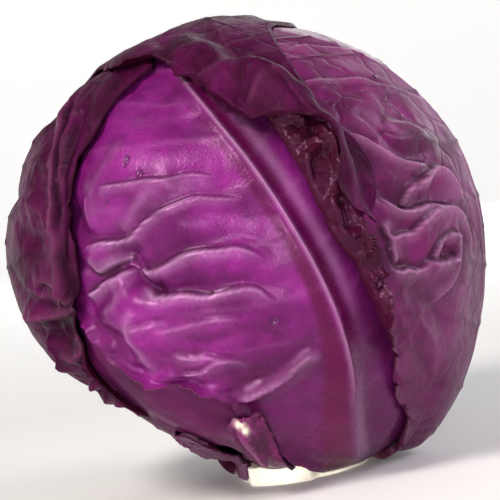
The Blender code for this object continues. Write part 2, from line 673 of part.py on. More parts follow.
def ring_solid(name, rings, finish):
    """A closed solid from rings of points, lowest first, with a flat face at each end."""
    count = rings.shape[1]
    index = np.arange(rings.shape[0] * count).reshape(rings.shape[:2])
    faces = [index[0, ::-1].tolist(), index[-1].tolist()]
    for low, high in zip(index[:-1], index[1:]):
        after_low, after_high = np.roll(low, -1), np.roll(high, -1)
        faces += np.stack([low, after_low, after_high, high], -1).tolist()
    mesh = bpy.data.meshes.new(name)
    mesh.from_pydata(rings.reshape(-1, 3).tolist(), [], faces)
    return place(mesh, finish)


def stem(finish):
    """The cut stem: a round stub with a flat cut face, and a pale collar where leaves were sliced off."""
    bearing = np.linspace(0, 360, STEM_SIDES, endpoint=False)
    top = COLLAR_HEIGHT
    levels = [
        (0.0, stem_side(bearing, 0.0) - CUT_BEVEL),
        (CUT_BEVEL, stem_side(bearing, CUT_BEVEL)),
        (top - CUT_BEVEL, stem_side(bearing, top - CUT_BEVEL)),
        (top, stem_side(bearing, top + CUT_BEVEL)),
        (STEM_HEIGHT - CUT_BEVEL, stem_side(bearing, STEM_HEIGHT)),
        (STEM_HEIGHT, stem_side(bearing, STEM_HEIGHT) - CUT_BEVEL),
    ]
    b = np.radians(bearing)
    rings = [np.stack([r * np.sin(b), -r * np.cos(b), z + 0 * b], -1) for z, r in levels]
    ring_solid("stem", np.array(rings), finish)


def inner_head(finish):
    """The tight ball of inner leaves, flattened where the stem carries it. Returns its radius map."""

    def radius_of(directions):
        radius = form(directions) - INNER_HEAD_DEPTH
        level = (HEAD_CENTRE[2] - INNER_HEAD_FLOOR) / np.maximum(-directions[..., 2], 0.2)
        return np.minimum(radius, level)

    elevations = np.array(INNER_HEAD_RINGS)
    azimuths = -np.linspace(0, 360, INNER_HEAD_SIDES, endpoint=False)
    directions = towards(azimuths[None, :] + 0 * elevations[:, None], elevations[:, None] + 0 * azimuths)
    rings = HEAD_CENTRE + directions * radius_of(directions)[..., None]
    rings[0, :, 2] = INNER_HEAD_FLOOR
    rings[-1, :, 2] = rings[-1, :, 2].mean()
    ring_solid("inner_head", rings[:, ::-1], finish)

    cells = np.linspace(-1, 1, MAP_CELLS)
    x, y = np.meshgrid(cells, cells)
    fall = np.hypot(x, y) * np.pi
    flat = np.where(fall > 1e-9, np.sin(fall) / np.maximum(fall, 1e-9), 1.0) * np.pi
    directions = unit(np.stack([x * flat, y * flat, np.cos(fall)], -1) + 1e-12)
    return radius_of(directions)


def main():
    for old in list(bpy.data.objects):
        bpy.data.objects.remove(old)
    finishes = {name: material(name, *finish) for name, finish in FINISHES.items()}
    stem(finishes["stem"])
    underlay = inner_head(finishes["inner_head"])
    for leaf in LEAVES:
        eased_map = eased(underlay)
        outer, inner = surface(leaf, eased_map, *leaf["grid"])
        place(shell_mesh(leaf["name"], outer, inner), finishes[leaf["name"]])
        lay_on(underlay, filled(outer))
        lay_on(underlay, filled(inner))


main()
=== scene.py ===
# %% [markdown]
# # A red cabbage head
# The head is a tight ball of leaves with loose outer leaves wrapped round it, standing on its cut stem. The
# imported model gives each piece its place and its real size. This script gives each piece its fine surface
# and its finish, and then sets up a camera, lights and a floor. The first cell loads the imported model.

# %% Load the imported model
import bpy
import numpy as np
from mathutils import Matrix, Vector


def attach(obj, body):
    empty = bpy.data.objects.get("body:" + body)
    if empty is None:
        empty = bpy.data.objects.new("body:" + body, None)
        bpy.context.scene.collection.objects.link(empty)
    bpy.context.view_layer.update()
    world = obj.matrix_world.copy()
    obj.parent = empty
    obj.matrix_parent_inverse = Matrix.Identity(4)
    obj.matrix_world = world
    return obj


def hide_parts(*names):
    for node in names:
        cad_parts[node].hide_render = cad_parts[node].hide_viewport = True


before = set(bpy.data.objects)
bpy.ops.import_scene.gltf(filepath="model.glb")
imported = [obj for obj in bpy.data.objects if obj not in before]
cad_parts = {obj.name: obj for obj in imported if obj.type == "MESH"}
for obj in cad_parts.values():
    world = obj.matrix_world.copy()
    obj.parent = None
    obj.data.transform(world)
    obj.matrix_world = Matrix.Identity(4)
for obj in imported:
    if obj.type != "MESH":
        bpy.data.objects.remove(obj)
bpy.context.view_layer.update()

print("nodes:", sorted(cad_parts))

# %% [markdown]
# ## Directions on a ball
# A cabbage is nearly a ball, so every place on it is a direction from its centre: an azimuth round the
# head (0 at the front, 90 on the right) and an elevation (90 at the crown). A leaf's margin is then a curve
# through a few directions. Great circles join such curves without a seam or a pinched pole, which is why
# directions are used here and not a flat grid that is bent afterwards.

# %% Directions and curves
MM = 0.001
HEAD_RADIUS = 0.083
HEAD_CENTRE = np.array([-0.007, 0.0, 0.0842])


def unit(vectors):
    """The vectors divided by their lengths."""
    return vectors / np.linalg.norm(vectors, axis=-1, keepdims=True)


def towards(azimuth, elevation):
    """The unit vector at an azimuth and an elevation in degrees."""
    a, e = np.radians(azimuth), np.radians(elevation)
    return np.stack([np.sin(a) * np.cos(e), -np.cos(a) * np.cos(e), np.sin(e)], axis=-1)


def smooth(x):
    """3x^2 - 2x^3 between 0 and 1: an even rise with level ends."""
    x = np.clip(x, 0.0, 1.0)
    return x * x * (3.0 - 2.0 * x)


def curve(points, count):
    """A Catmull-Rom spline through the points, pulled onto the unit ball and cut into equal steps."""
    points = np.asarray(points, float)
    ends = np.vstack([2 * points[0] - points[1], points, 2 * points[-1] - points[-2]])
    p0, p1, p2, p3 = ends[:-3, None], ends[1:-2, None], ends[2:-1, None], ends[3:, None]
    t = np.linspace(0, 1, 24, endpoint=False)[None, :, None]
    bends = (2 * p0 - 5 * p1 + 4 * p2 - p3) * t**2 + (3 * p1 - p0 - 3 * p2 + p3) * t**3
    path = 0.5 * (2 * p1 + (p2 - p0) * t + bends)
    path = unit(np.vstack([path.reshape(-1, 3), points[-1:]]))
    done = np.concatenate([[0], np.cumsum(np.linalg.norm(np.diff(path, axis=0), axis=1))])
    steps = np.linspace(0, done[-1], count)
    return unit(np.stack([np.interp(steps, done, path[:, k]) for k in range(3)], axis=1))


def between(start, end, share):
    """A direction on the great circle from start to end; a share over 1 runs past the end."""
    angle = np.arccos(np.clip(np.sum(start * end, axis=-1, keepdims=True), -1, 1))
    sine = np.maximum(np.sin(angle), 1e-6)
    share = share[..., None]
    return unit(start * np.sin((1 - share) * angle) / sine + end * np.sin(share * angle) / sine)


print("a quarter round the head:", round(HEAD_RADIUS * np.pi / 2 / MM), "mm")

# %% [markdown]
# ## Random, but the same every time
# A leaf is never quite even. Two kinds of randomness are enough for it: a smooth random line along a margin
# and lumps in space. Both are formulas with a seed and no stored state, so every run gives the same head.

# %% Random lines and lumps
def wave(x, seed, count):
    """Four sines whose phases come from the seed, about count waves for x from 0 to 1."""
    phases = np.random.default_rng(seed).uniform(0, 2 * np.pi, 4)
    lengths = count * np.array([0.6, 1.0, 1.7, 2.6])
    weights = np.array([0.5, 1.0, 0.55, 0.3])
    return sum(w * np.sin(2 * np.pi * n * x + p) for w, n, p in zip(weights, lengths, phases)) / 1.4


def torn(x, seed, count):
    """A torn edge from about -1 to 1: lobes, sharp notches where a random line crosses zero, and nicks."""
    lobes = 1.4 * np.abs(wave(x, seed, count)) ** 0.6 - 0.7
    return lobes + 0.25 * wave(x, seed + 1, 4 * count)


def lumps(points, size, seed):
    """Value noise from -1 to 1: random values at the corners of a grid of this size, eased between them."""
    place = points / size + 500.0
    low = np.floor(place).astype(np.int64)
    share = smooth(place - low)
    total = np.zeros(points.shape[:-1])
    for corner in np.ndindex(2, 2, 2):
        at = low + np.array(corner)
        mixed = at[..., 0] * 73856093 ^ at[..., 1] * 19349663 ^ at[..., 2] * 83492791 ^ seed * 374761393
        mixed = ((mixed ^ (mixed >> 13)) * 1274126177) & 0x7FFFFFFF
        value = ((mixed ^ (mixed >> 16)) & 0xFFFF) / 32767.5 - 1.0
        total = total + value * np.prod(np.where(corner, share, 1 - share), axis=-1)
    return total


def crumpled(points, size, seed):
    """Sharp folds from 0 to 1: one minus the size of two layers of lumps, as in screwed-up paper."""
    coarse = 1 - np.abs(lumps(points, size, seed)) * 1.6
    fine = 1 - np.abs(lumps(points, 0.45 * size, seed + 1)) * 1.6
    return 0.7 * coarse + 0.3 * fine


print("lumps at three places:", np.round(lumps(np.eye(3) * 0.013, 0.01, 1), 2))

# %% [markdown]
# ## The head's own form
# The head is a ball with a few broad swellings and hollows. Each leaf is draped over what is already in
# place, so that leaves lie on each other and never cross. The height of what is in place is kept in a flat
# map of all directions, with the crown at its middle, as a chart of a globe seen from above one pole.

# %% Form and map
SWELLINGS = [
    (85, -58, 0.0090, 24),
    (-85, -50, -0.0105, 26),
    (-90, 4, 0.0012, 22),
    (-25, -74, -0.0040, 17),
    (170, -55, -0.0030, 30),
]
INNER_HEAD_DEPTH = 0.0088
INNER_HEAD_FLOOR = 0.0136
MAP_CELLS = 481
MAP_EASE = 3


def larger(a, b, ease=0.0005):
    """The larger of two heights, rounded off over the step between them."""
    return b + ease * np.logaddexp(0.0, (a - b) / ease)


def angle_from(directions, azimuth, elevation):
    """The angle in degrees between each direction and one place on the head."""
    return np.degrees(np.arccos(np.clip(directions @ towards(azimuth, elevation), -1, 1)))


def form(directions):
    """The head's radius: a ball plus one bell curve for each swelling."""
    radius = np.full(directions.shape[:-1], HEAD_RADIUS)
    for azimuth, elevation, height, spread in SWELLINGS:
        radius = radius + height * np.exp(-((angle_from(directions, azimuth, elevation) / spread) ** 2))
    return radius


def inner_radius(directions):
    """The tight inner head: the form less a depth, cut level above the stem."""
    level = (HEAD_CENTRE[2] - INNER_HEAD_FLOOR) / np.maximum(-directions[..., 2], 0.2)
    return np.minimum(form(directions) - INNER_HEAD_DEPTH, level)


print("form at the front in mm:", round(float(form(towards(0.0, 0.0))) / MM, 1))

# %% [markdown]
# ### A map of what is in place
# The map holds one radius for each direction. A new leaf reads it with a little widening and blur, so it
# passes over the edges below it in a smooth rise, and is then laid on it for the next leaf.

# %% Map of what is in place
def map_place(directions):
    """Where a direction falls on the map: its angle from the crown is its distance from the middle."""
    side = np.hypot(directions[..., 0], directions[..., 1])
    fall = np.arctan2(side, directions[..., 2]) / np.pi
    flat = directions[..., :2] * (fall / np.maximum(side, 1e-9))[..., None]
    return (flat + 1) / 2 * (MAP_CELLS - 1)


def first_map():
    """The map with only the inner head on it."""
    cells = np.linspace(-1, 1, MAP_CELLS)
    x, y = np.meshgrid(cells, cells)
    fall = np.hypot(x, y) * np.pi
    flat = np.where(fall > 1e-9, np.sin(fall) / np.maximum(fall, 1e-9), 1.0) * np.pi
    return inner_radius(unit(np.stack([x * flat, y * flat, np.cos(fall)], -1) + 1e-12))


def lay_on(underlay, points):
    """Raises the map to cover a grid of points, with three points between each two of the grid."""
    for axis in (0, 1):
        count = points.shape[axis]
        place = np.linspace(0, count - 1, (count - 1) * 3 + 1)
        low = np.minimum(place.astype(int), count - 2)
        share = np.expand_dims(place - low, (1, 2) if axis == 0 else (0, 2))
        points = points.take(low, axis) * (1 - share) + points.take(low + 1, axis) * share
    offsets = points.reshape(-1, 3) - HEAD_CENTRE
    radius = np.linalg.norm(offsets, axis=1)
    cells = np.rint(map_place(offsets / radius[:, None])).astype(int)
    np.maximum.at(underlay, (cells[:, 1], cells[:, 0]), radius)


def eased(underlay):
    """The map widened by MAP_EASE cells and blurred by as many, so it is smooth and never lower."""
    shifts = range(-MAP_EASE, MAP_EASE + 1)
    weights = [(MAP_EASE + 1 - abs(s)) / (MAP_EASE + 1) ** 2 for s in shifts]
    wide = underlay
    for axis in (0, 1):
        wide = np.max([np.roll(wide, s, axis) for s in shifts], axis=0)
    for axis in (0, 1):
        wide = sum(w * np.roll(wide, s, axis) for s, w in zip(shifts, weights))
    return wide


def below(underlay, directions):
    """The map's radius in each direction, mixed from the four nearest cells."""
    place = map_place(directions)
    low = np.clip(np.floor(place).astype(int), 0, MAP_CELLS - 2)
    share = place - low
    x, y = low[..., 0], low[..., 1]
    fx, fy = share[..., 0], share[..., 1]
    top = underlay[y, x] * (1 - fx) + underlay[y, x + 1] * fx
    bottom = underlay[y + 1, x] * (1 - fx) + underlay[y + 1, x + 1] * fx
    return top * (1 - fy) + bottom * fy


underlay = first_map()
print("inner head radius in mm:", round(underlay.min() / MM, 1), "to", round(underlay.max() / MM, 1))

# %% [markdown]
# ## The stem's side
# The leaves grow from the stem, so their feet must clear it. One formula gives the stem's radius at each
# bearing and height. It shapes the stem later, and here it pushes any leaf point that is inside the stem
# straight out to its side.

# %% Stem side
STEM_RADIUS = 0.0245
STEM_HEIGHT = 0.0132
STEM_TAPER = 0.32
STEM_WAVE = 0.0002
COLLAR_RADIUS = 0.0280
COLLAR_HEIGHT = 0.0074
COLLAR_SPAN = (-58.0, 9.0)
COLLAR_ENDS = (10.0, 8.0)
STEM_GAP = 0.0004
FLOOR_CLEARANCE = 0.0008


def stem_side(bearing, height):
    """The stem's radius: it tapers upwards, and a collar of sliced leaf feet stands out on one side."""
    turned = (bearing + 180) % 360 - 180
    low, high = COLLAR_SPAN
    collar = smooth((turned - low) / COLLAR_ENDS[0]) * smooth((high - turned) / COLLAR_ENDS[1])
    side = STEM_RADIUS - STEM_TAPER * height + STEM_WAVE * (np.sin(3 * np.radians(bearing)) - 1)
    return side + (COLLAR_RADIUS - side) * collar * (height <= COLLAR_HEIGHT)


def clear_of_stem(points):
    """Moves each point that is inside the stem straight out to its side."""
    across = np.hypot(points[..., 0], points[..., 1])
    bearing = np.degrees(np.arctan2(points[..., 0], -points[..., 1]))
    height = points[..., 2] - STEM_GAP * (points[..., 2] > COLLAR_HEIGHT)
    limit = np.where(points[..., 2] < STEM_HEIGHT + STEM_GAP, stem_side(bearing, height) + STEM_GAP, 0.0)
    grow = np.maximum(limit / np.maximum(across, 1e-6), 1.0)
    return points * np.stack([grow, grow, np.ones_like(grow)], -1)


def at_stem(bearing, height):
    """The direction of a point on the stem's side, at a bearing round the stem and a height."""
    b = np.radians(bearing)
    reach = STEM_RADIUS + STEM_GAP
    return unit(np.array([reach * np.sin(b), -reach * np.cos(b), height]) - HEAD_CENTRE)


print("stem across the cut, mm:", round(2 * STEM_RADIUS / MM))

# %% [markdown]
# ## Relief along paths
# On a cabbage leaf the veins stand out as sharp crests and the blade between them swells like a pillow, so
# each vein has a crease beside it. Both are a height that falls off with the distance from a path over the
# leaf. The same distances also say where the finish gets a painted highlight (on the crests) and painted
# shade (in the creases).

# %% Relief
FOLD_STEP = 0.0013
FOLD_SLOPE = 0.5


def distance_to(directions, path):
    """Each direction's distance from a path in metres, how far along it is from 0 to 1, and its side.

    The side is 1 to the left of someone who walks the path on the head, and -1 to the right.
    """
    line = curve([towards(*p) for p in path], 6 * len(path))
    best = np.full(directions.shape[:-1], np.inf)
    place = np.zeros(directions.shape[:-1])
    side = np.ones(directions.shape[:-1])
    for k, (a, b) in enumerate(zip(line[:-1], line[1:])):
        step = b - a
        share = np.clip((directions - a) @ step / (step @ step), 0, 1)
        gap = np.linalg.norm(directions - a - share[..., None] * step, axis=-1)
        nearer = gap < best
        best = np.where(nearer, gap, best)
        place = np.where(nearer, (k + share) / (len(line) - 1), place)
        side = np.where(nearer, np.sign(directions @ np.cross(a, step)), side)
    return best * HEAD_RADIUS, place, side


def relief(directions, leaf):
    """Sum of folds, crests, creases and dishes, with the masks of painted highlight on the crests and painted
    shade in the creases.

    A fold is a step from a crease on the path's left to a crest on its right. It is FOLD_STEP plus
    FOLD_SLOPE times its height wide, and both sides die out away from it. A crest or a crease is a bell
    across its path, and a dish is a round bell.
    """
    shaken = unit(directions + 0.010 * np.stack([lumps(directions, 0.09, s) for s in (3, 4, 5)], -1))
    height = np.zeros(directions.shape[:-1])
    crest = np.zeros_like(height)
    crease = np.zeros_like(height)
    for start, end, left_width, right_width, path in leaf["folds"]:
        gap, place, side = distance_to(shaken, path)
        tall = (start + (end - start) * place) * MM * smooth(7 * place) * smooth(7 * (1 - place))
        across = gap * side
        turn_over = smooth(0.5 + across / (FOLD_STEP + FOLD_SLOPE * tall))
        left_part = -1.1 * np.exp(-gap / (left_width * MM))
        right_part = 0.9 * np.exp(-gap / (right_width * MM))
        ends = np.exp(-((gap / (9 * MM)) ** 2))
        height = height + tall * ends * (left_part * turn_over + right_part * (1 - turn_over))
        strength = tall / (2.0 * MM)
        # painted highlight: a thin bright line on the fold's crest and a soft glow beside it; painted shade
        # in the crease on its other side
        line = 1.25 * np.exp(-(((across + 0.7 * MM) / (0.6 * MM)) ** 2))
        glow = 0.30 * np.exp(-(((across + 1.7 * MM) / (1.9 * MM)) ** 2))
        crest = np.maximum(crest, strength * np.maximum(line, glow))
        crease = np.maximum(crease, 1.2 * strength * np.exp(-(((across - 0.7 * MM) / (0.9 * MM)) ** 2)))
    for start, end, width, path in leaf["creases"]:
        gap, place, _ = distance_to(shaken, path)
        depth = (start + (end - start) * place) * MM
        height = height - depth * np.exp(-((gap / (width * MM)) ** 1.5))
        # painted shade along the bottom of each crease
        crease = np.maximum(crease, depth / (6 * MM) * np.exp(-((gap / (0.5 * width * MM)) ** 1.5)))
    for start, end, width, path in leaf["crests"]:
        gap, place, _ = distance_to(shaken, path)
        tall = (start + (end - start) * place) * MM * smooth(8 * place) * smooth(8 * (1 - place))
        height = height + tall * np.exp(-((gap / (width * MM)) ** 1.2))
        # painted highlight along each crest
        crest = np.maximum(crest, tall / (4.5 * MM) * np.exp(-((gap / (0.6 * width * MM)) ** 1.5)))
    for depth, radius, place in leaf["dishes"]:
        gap = np.radians(angle_from(shaken, *place)) * HEAD_RADIUS
        height = height - depth * MM * np.exp(-((gap / (radius * MM)) ** 2.5))
    # painted shade: dark bands along given paths, where leaves on top and beside it and its own folds shade
    # this leaf
    for strength, width, path in leaf["shade_paths"]:
        gap, _, _ = distance_to(shaken, path)
        crease = np.maximum(crease, strength * np.exp(-((gap / (width * MM)) ** 2)))
    return height, np.clip(crest, 0, 1), np.clip(crease, 0, 1)


def side_veins(leaf, a, v, length, directions):
    """Ridges that leave the midrib at equal steps and lean towards the tip as they near the margin."""
    count, rise, height = leaf["side_veins"]
    lean = v - rise * np.abs(a) ** 1.3 + 0.012 * lumps(directions, 0.22, 9)
    phase = lean * count + 0.5 * (a > 0)
    gap = np.abs(phase - np.rint(phase)) / count * length
    fade = smooth(v / 0.15) * (1 - 0.75 * np.minimum(np.abs(a), 1)) * smooth((1.02 - v) / 0.1)
    ridge = np.exp(-((gap / (1.1 * MM)) ** 1.5)) * fade
    return height * MM * ridge, ridge


# %% [markdown]
# ## The leaf as a surface of two parameters
# Every outer leaf is the same function with its own numbers. The parameter a is -1 on the left margin, 0 on
# the midrib and 1 on the right margin, and v is 0 at the stem and 1 at the tip. Past the margin the surface
# carries on as a hem that curls outwards, which makes both a slightly lifted edge and a folded-back cuff.
# The inner face is the outer face moved in by the blade's thickness, so the rib and the foot are thick
# and the margin is thin, which one Solidify thickness could not give.

# %% Leaf surface
BLADE = 0.0007
LAYER_GAP = 0.0008
FOOT = 0.09
ROOT = 0.16
RIB_RISE = 0.1
PUCKER_RISE = 0.12
RUFFLE_RISE = 0.25
RIB_OUTSIDE = 0.6
RIB_FADE = 1.2


def along(table, v):
    """Reads a list of (v, value) pairs at v."""
    return np.interp(v, [row[0] for row in table], [row[1] for row in table])


def lift_of(table, a, v):
    """The leaf's lift over the form, from rows of v and five heights in mm from margin to margin."""
    stations = [row[0] for row in table]
    columns = [np.interp(v, stations, [row[1][k] for row in table]) for k in range(5)]
    place = (np.clip(a, -1, 1) + 1) * 2
    cell = np.clip(np.floor(place).astype(int), 0, 3)
    share = smooth(place - cell)
    height = np.stack(np.broadcast_arrays(*columns), axis=-1)
    low = np.take_along_axis(height, cell[..., None], -1)[..., 0]
    high = np.take_along_axis(height, cell[..., None] + 1, -1)[..., 0]
    return (low * (1 - share) + high * share) * MM


def outline(leaf, rows):
    """The left margin, the midrib and the right margin as curves of directions from stem to tip."""
    curves = []
    for (bearing, height), side in zip(leaf["base"], ("left", "mid", "right")):
        points = [at_stem(bearing, height * MM)] + [towards(*p) for p in leaf[side]]
        curves.append(curve(points, rows))
    return curves


print("blade and gap in mm:", round(BLADE / MM, 2), round(LAYER_GAP / MM, 2))

# %% [markdown]
# ### Columns across a leaf
# The columns go from the left hem over the blade to the right hem. On the blade they are even shares of the
# way to the margin. In a hem they follow an arc and then a straight line, which can fold right back.

# %% Columns across a leaf
def columns_of(leaf, lengths, v):
    """For each row and column: the place a, the hem's lift, and how far into the hem the point is.

    The hem is an arc of the turn and radius that the leaf gives, followed by a straight stretch.
    """
    _, blade_columns, hem_columns = leaf["grid"]
    places, lifts, hems = [], [], []
    for sign, hem, length, blade_count, hem_count in zip(
        (-1, 1), leaf["hems"], lengths, blade_columns, hem_columns
    ):
        turn = np.radians(along(hem["turn"], v))
        notches = hem["torn"] * MM * torn(v, leaf["seed"] + sign, hem["notches"]) * smooth(v / 0.08)
        reach = np.maximum(along(hem["length"], v) * MM + notches, 0.4 * MM)
        radius = hem["radius"] * MM
        blade = np.linspace(0, 1, blade_count + 1)[None, :] + 0 * v[:, None]
        share = np.linspace(0, 1, hem_count + 1)[None, 1:]
        arc = share * reach[:, None]
        bent = np.minimum(arc / radius, turn[:, None])
        rest = arc - radius * bent
        out = radius * np.sin(bent) + rest * np.cos(bent)
        up = radius * (1 - np.cos(bent)) + rest * np.sin(bent)
        place = np.hstack([blade, 1 + out / np.maximum(length[:, None], 4 * MM)])
        lift = np.hstack([0 * blade, up])
        into = np.hstack([0 * blade, share + 0 * arc])
        if sign < 0:
            place, lift, into = -place[:, :0:-1], lift[:, :0:-1], into[:, :0:-1]
        places.append(place)
        lifts.append(lift)
        hems.append(into)
    return np.hstack(places), np.hstack(lifts), np.hstack(hems)

# %% [markdown]
# ### Crumpling
# A leaf that dries shrinks unevenly and folds up like paper. The same sharp noise makes the cuff's large
# folds, the wilted spots and, much weaker, the unevenness of every blade.

# %% Crumpling
def crumple(leaf, directions, into_hem):
    """How far the surface is pushed out along its normal: folds in the hem and at wilted spots."""
    points = directions * HEAD_RADIUS
    tall, size = leaf["hem_folds"]
    push = tall * MM * smooth(1.5 * into_hem) * (crumpled(points, size * MM, leaf["seed"]) - 0.5)
    for height, size, place, spread in leaf["wilted"]:
        spot = np.exp(-((angle_from(directions, *place) / spread) ** 2))
        push = push + height * MM * spot * (crumpled(points, size * MM, leaf["seed"] + 7) - 0.5)
    broad = 0.35 * MM * lumps(points, 0.011, leaf["seed"] + 2)
    fine = 0.10 * MM * lumps(points, 0.0035, leaf["seed"] + 3)
    return push + broad + fine

# %% [markdown]
# ### Marks along the midrib
# The midrib's crest carries a thin painted highlight, its flanks are wine-dark, partly with the rib's own
# colour and partly with painted shade on the steep right flank, a painted lit band lies beyond that flank,
# and its foot is a pale stalk. These colours are tied to places on the leaf, so they are worked out here and
# carried to the finish as attributes.

# %% Marks along the midrib
def rib_marks(leaf, aside, v):
    """Colour marks along the midrib: dark flanks partly in painted shade, a painted lit band on the right,
    the crest's painted highlight line, the stalk.

    Each is a bell at a distance in mm from the midrib, times a smooth step in v where it fades in or out.
    """
    strong_rib = leaf["spine"] > 1
    mm = aside / MM
    right = 0.5 * leaf["rib"][2]
    right_flank = np.exp(-(((mm - 1.1 * right) / right) ** 2))
    width = 2.2 + 3.0 * smooth((0.5 - v) / 0.4)
    left_flank = np.exp(-(((mm + 1.0 + width) / width) ** 4)) * smooth((0.95 - v) / 0.5)
    stalk = np.exp(-(((mm - 2.8) / 3.2) ** 4)) * smooth((0.36 - v) / 0.14)
    # both flanks: the rib's own wine colour, deepened by painted shade on the steep right flank
    flank_colour_and_shade = np.maximum(right_flank * (1 - stalk), left_flank) * (1 - v) ** 0.2 * strong_rib
    # painted light: a lit band where the blade right of the rib rises again
    lit_band = 0.35 * np.exp(-(((mm - 7.0) / 2.4) ** 2)) * smooth((v - 0.25) / 0.15) * strong_rib
    # painted highlight along the midrib's crest
    line = leaf["spine"] / 2 * np.exp(-((mm / 0.7) ** 2)) * smooth((v - 0.2) / 0.1)
    return flank_colour_and_shade, lit_band, line, stalk

# %% [markdown]
# ### The whole leaf
# Now all heights are added up, the leaf is draped over the map, and its inner face is set one thickness
# inside the outer one.

# %% Whole leaf
def leaf_surface(leaf):
    """The leaf's outer and inner faces as two grids of points, with its marks for the finish.

    Height over the centre = form + lift + midrib + side veins + relief + ruffle, or what is in place plus
    a gap where that is higher; near the stem it runs into a foot of a set height.
    """
    rows = leaf["grid"][0]
    v = np.linspace(0, 1, rows)
    left, mid, right = outline(leaf, rows)
    lengths = [HEAD_RADIUS * np.arccos(np.clip(np.sum(mid * side, axis=1), -1, 1)) for side in (left, right)]
    leaf_length = HEAD_RADIUS * np.linalg.norm(np.diff(mid, axis=0), axis=1).sum()
    a, hem_lift, into_hem = columns_of(leaf, lengths, v)
    grid_v = v[:, None] + 0 * a
    margin = np.where((a < 0)[..., None], left[:, None], right[:, None])
    directions = between(mid[:, None] + 0 * margin, margin, np.abs(a))
    aside = a * np.where(a < 0, lengths[0][:, None], lengths[1][:, None])

    rib_height, rib_left, rib_right = leaf["rib"]
    rib_width = np.where(aside < 0, rib_left, rib_right) * MM * (1.25 - grid_v)
    rib = np.exp(-((np.abs(aside) / rib_width) ** 2)) * (1 - grid_v) ** RIB_FADE
    spine = np.exp(-((np.abs(aside) / (0.9 * MM)) ** 1.3)) * smooth((1 - grid_v) / 0.5) * smooth(grid_v / 0.2)
    root = smooth(1 - grid_v / ROOT)
    rib_thickness = (0.7 * rib_height * MM - BLADE) * rib * (1 - smooth(1 - grid_v / RIB_RISE))
    thickness = BLADE + np.maximum(rib_thickness, (leaf["root"] * MM - BLADE) * root)
    sizes, count, seed = leaf["ruffle"]
    fullness = smooth(grid_v / RUFFLE_RISE) * np.minimum(np.abs(a), 1) ** 6
    size = np.where(a < 0, sizes[0], sizes[1]) * MM
    ruffle = size * wave(grid_v + 0.07 * np.sign(a), seed, count) * fullness
    bumps, crest, crease = relief(directions, leaf)
    veins, vein_mask = side_veins(leaf, a, grid_v, leaf_length, directions)
    height = (
        form(directions)
        + lift_of(leaf["lift"], a, grid_v)
        + RIB_OUTSIDE * rib_height * MM * rib * smooth(grid_v / RIB_RISE)
        + leaf["spine"] * MM * spine
        + (bumps + veins + crumple(leaf, directions, into_hem)) * smooth(grid_v / PUCKER_RISE)
        + ruffle
    )
    height = larger(height, below(eased(underlay), directions) + LAYER_GAP + thickness)
    falls = [HEAD_CENTRE[2] - base_height * MM for _, base_height in leaf["base"]]
    starts = [fall / -side[0, 2] for fall, side in zip(falls, (left, mid, right))]
    start = np.interp(a, (-1, 0, 1), starts)
    height = start + (height - start) * smooth(grid_v / FOOT)
    level = (HEAD_CENTRE[2] - FLOOR_CLEARANCE) / np.maximum(-directions[..., 2], 0.3)
    height = np.minimum(height, level)
    outer = HEAD_CENTRE + directions * (height + hem_lift)[..., None]

    normals = unit(np.cross(np.gradient(outer, axis=1), np.gradient(outer, axis=0)) + 1e-12)
    middle = leaf["grid"][2][0] + leaf["grid"][1][0]
    normals = normals * np.sign(np.sum(normals[:, middle] * directions[:, middle]))
    bend = smooth(into_hem * 3)[..., None]
    inwards = unit(directions * (1 - bend) + normals * bend)
    inner = outer - inwards * thickness[..., None]
    flank_colour_and_shade, lit_band, line, stalk = rib_marks(leaf, aside, grid_v)
    # The signed vein setting: below zero it paints shade into the sunken side veins; above zero it makes the
    # veins pale, partly their own colour and partly painted highlight.
    crease = np.maximum(crease, -leaf["vein_light_and_shade"] * vein_mask)
    pale = np.clip(np.maximum(crest, leaf["vein_light_and_shade"] * vein_mask) + line + lit_band, 0, 1)
    marks = np.stack([pale, crease, flank_colour_and_shade, into_hem], -1)
    places = np.stack([aside + into_hem * 4 * MM * np.sign(a), grid_v * leaf_length], -1)
    flesh = np.clip(1 - grid_v / 0.012, 0, 1)
    for spread, place in leaf["pale_spots"]:
        flesh = np.maximum(flesh, np.exp(-((angle_from(directions, *place) / spread) ** 2)))
    more = np.stack([flesh, 0 * flesh, np.clip(1.15 - grid_v / 0.45, 0, 1), stalk], -1)
    return clear_of_stem(outer), clear_of_stem(inner), marks, more, places


# %% [markdown]
# ## From a grid to a mesh
# A leaf's mesh is its outer grid, its inner grid turned round, and a narrow wall along the rim, so it is one
# closed skin. It carries what the finish needs to follow the surface: a UV map in metres across and along the
# leaf, and two colour attributes with the masks for the painted highlight on crests, the painted shade in
# creases, the rib's dark flank with its painted shade, the edge, the cut foot and the inner side.

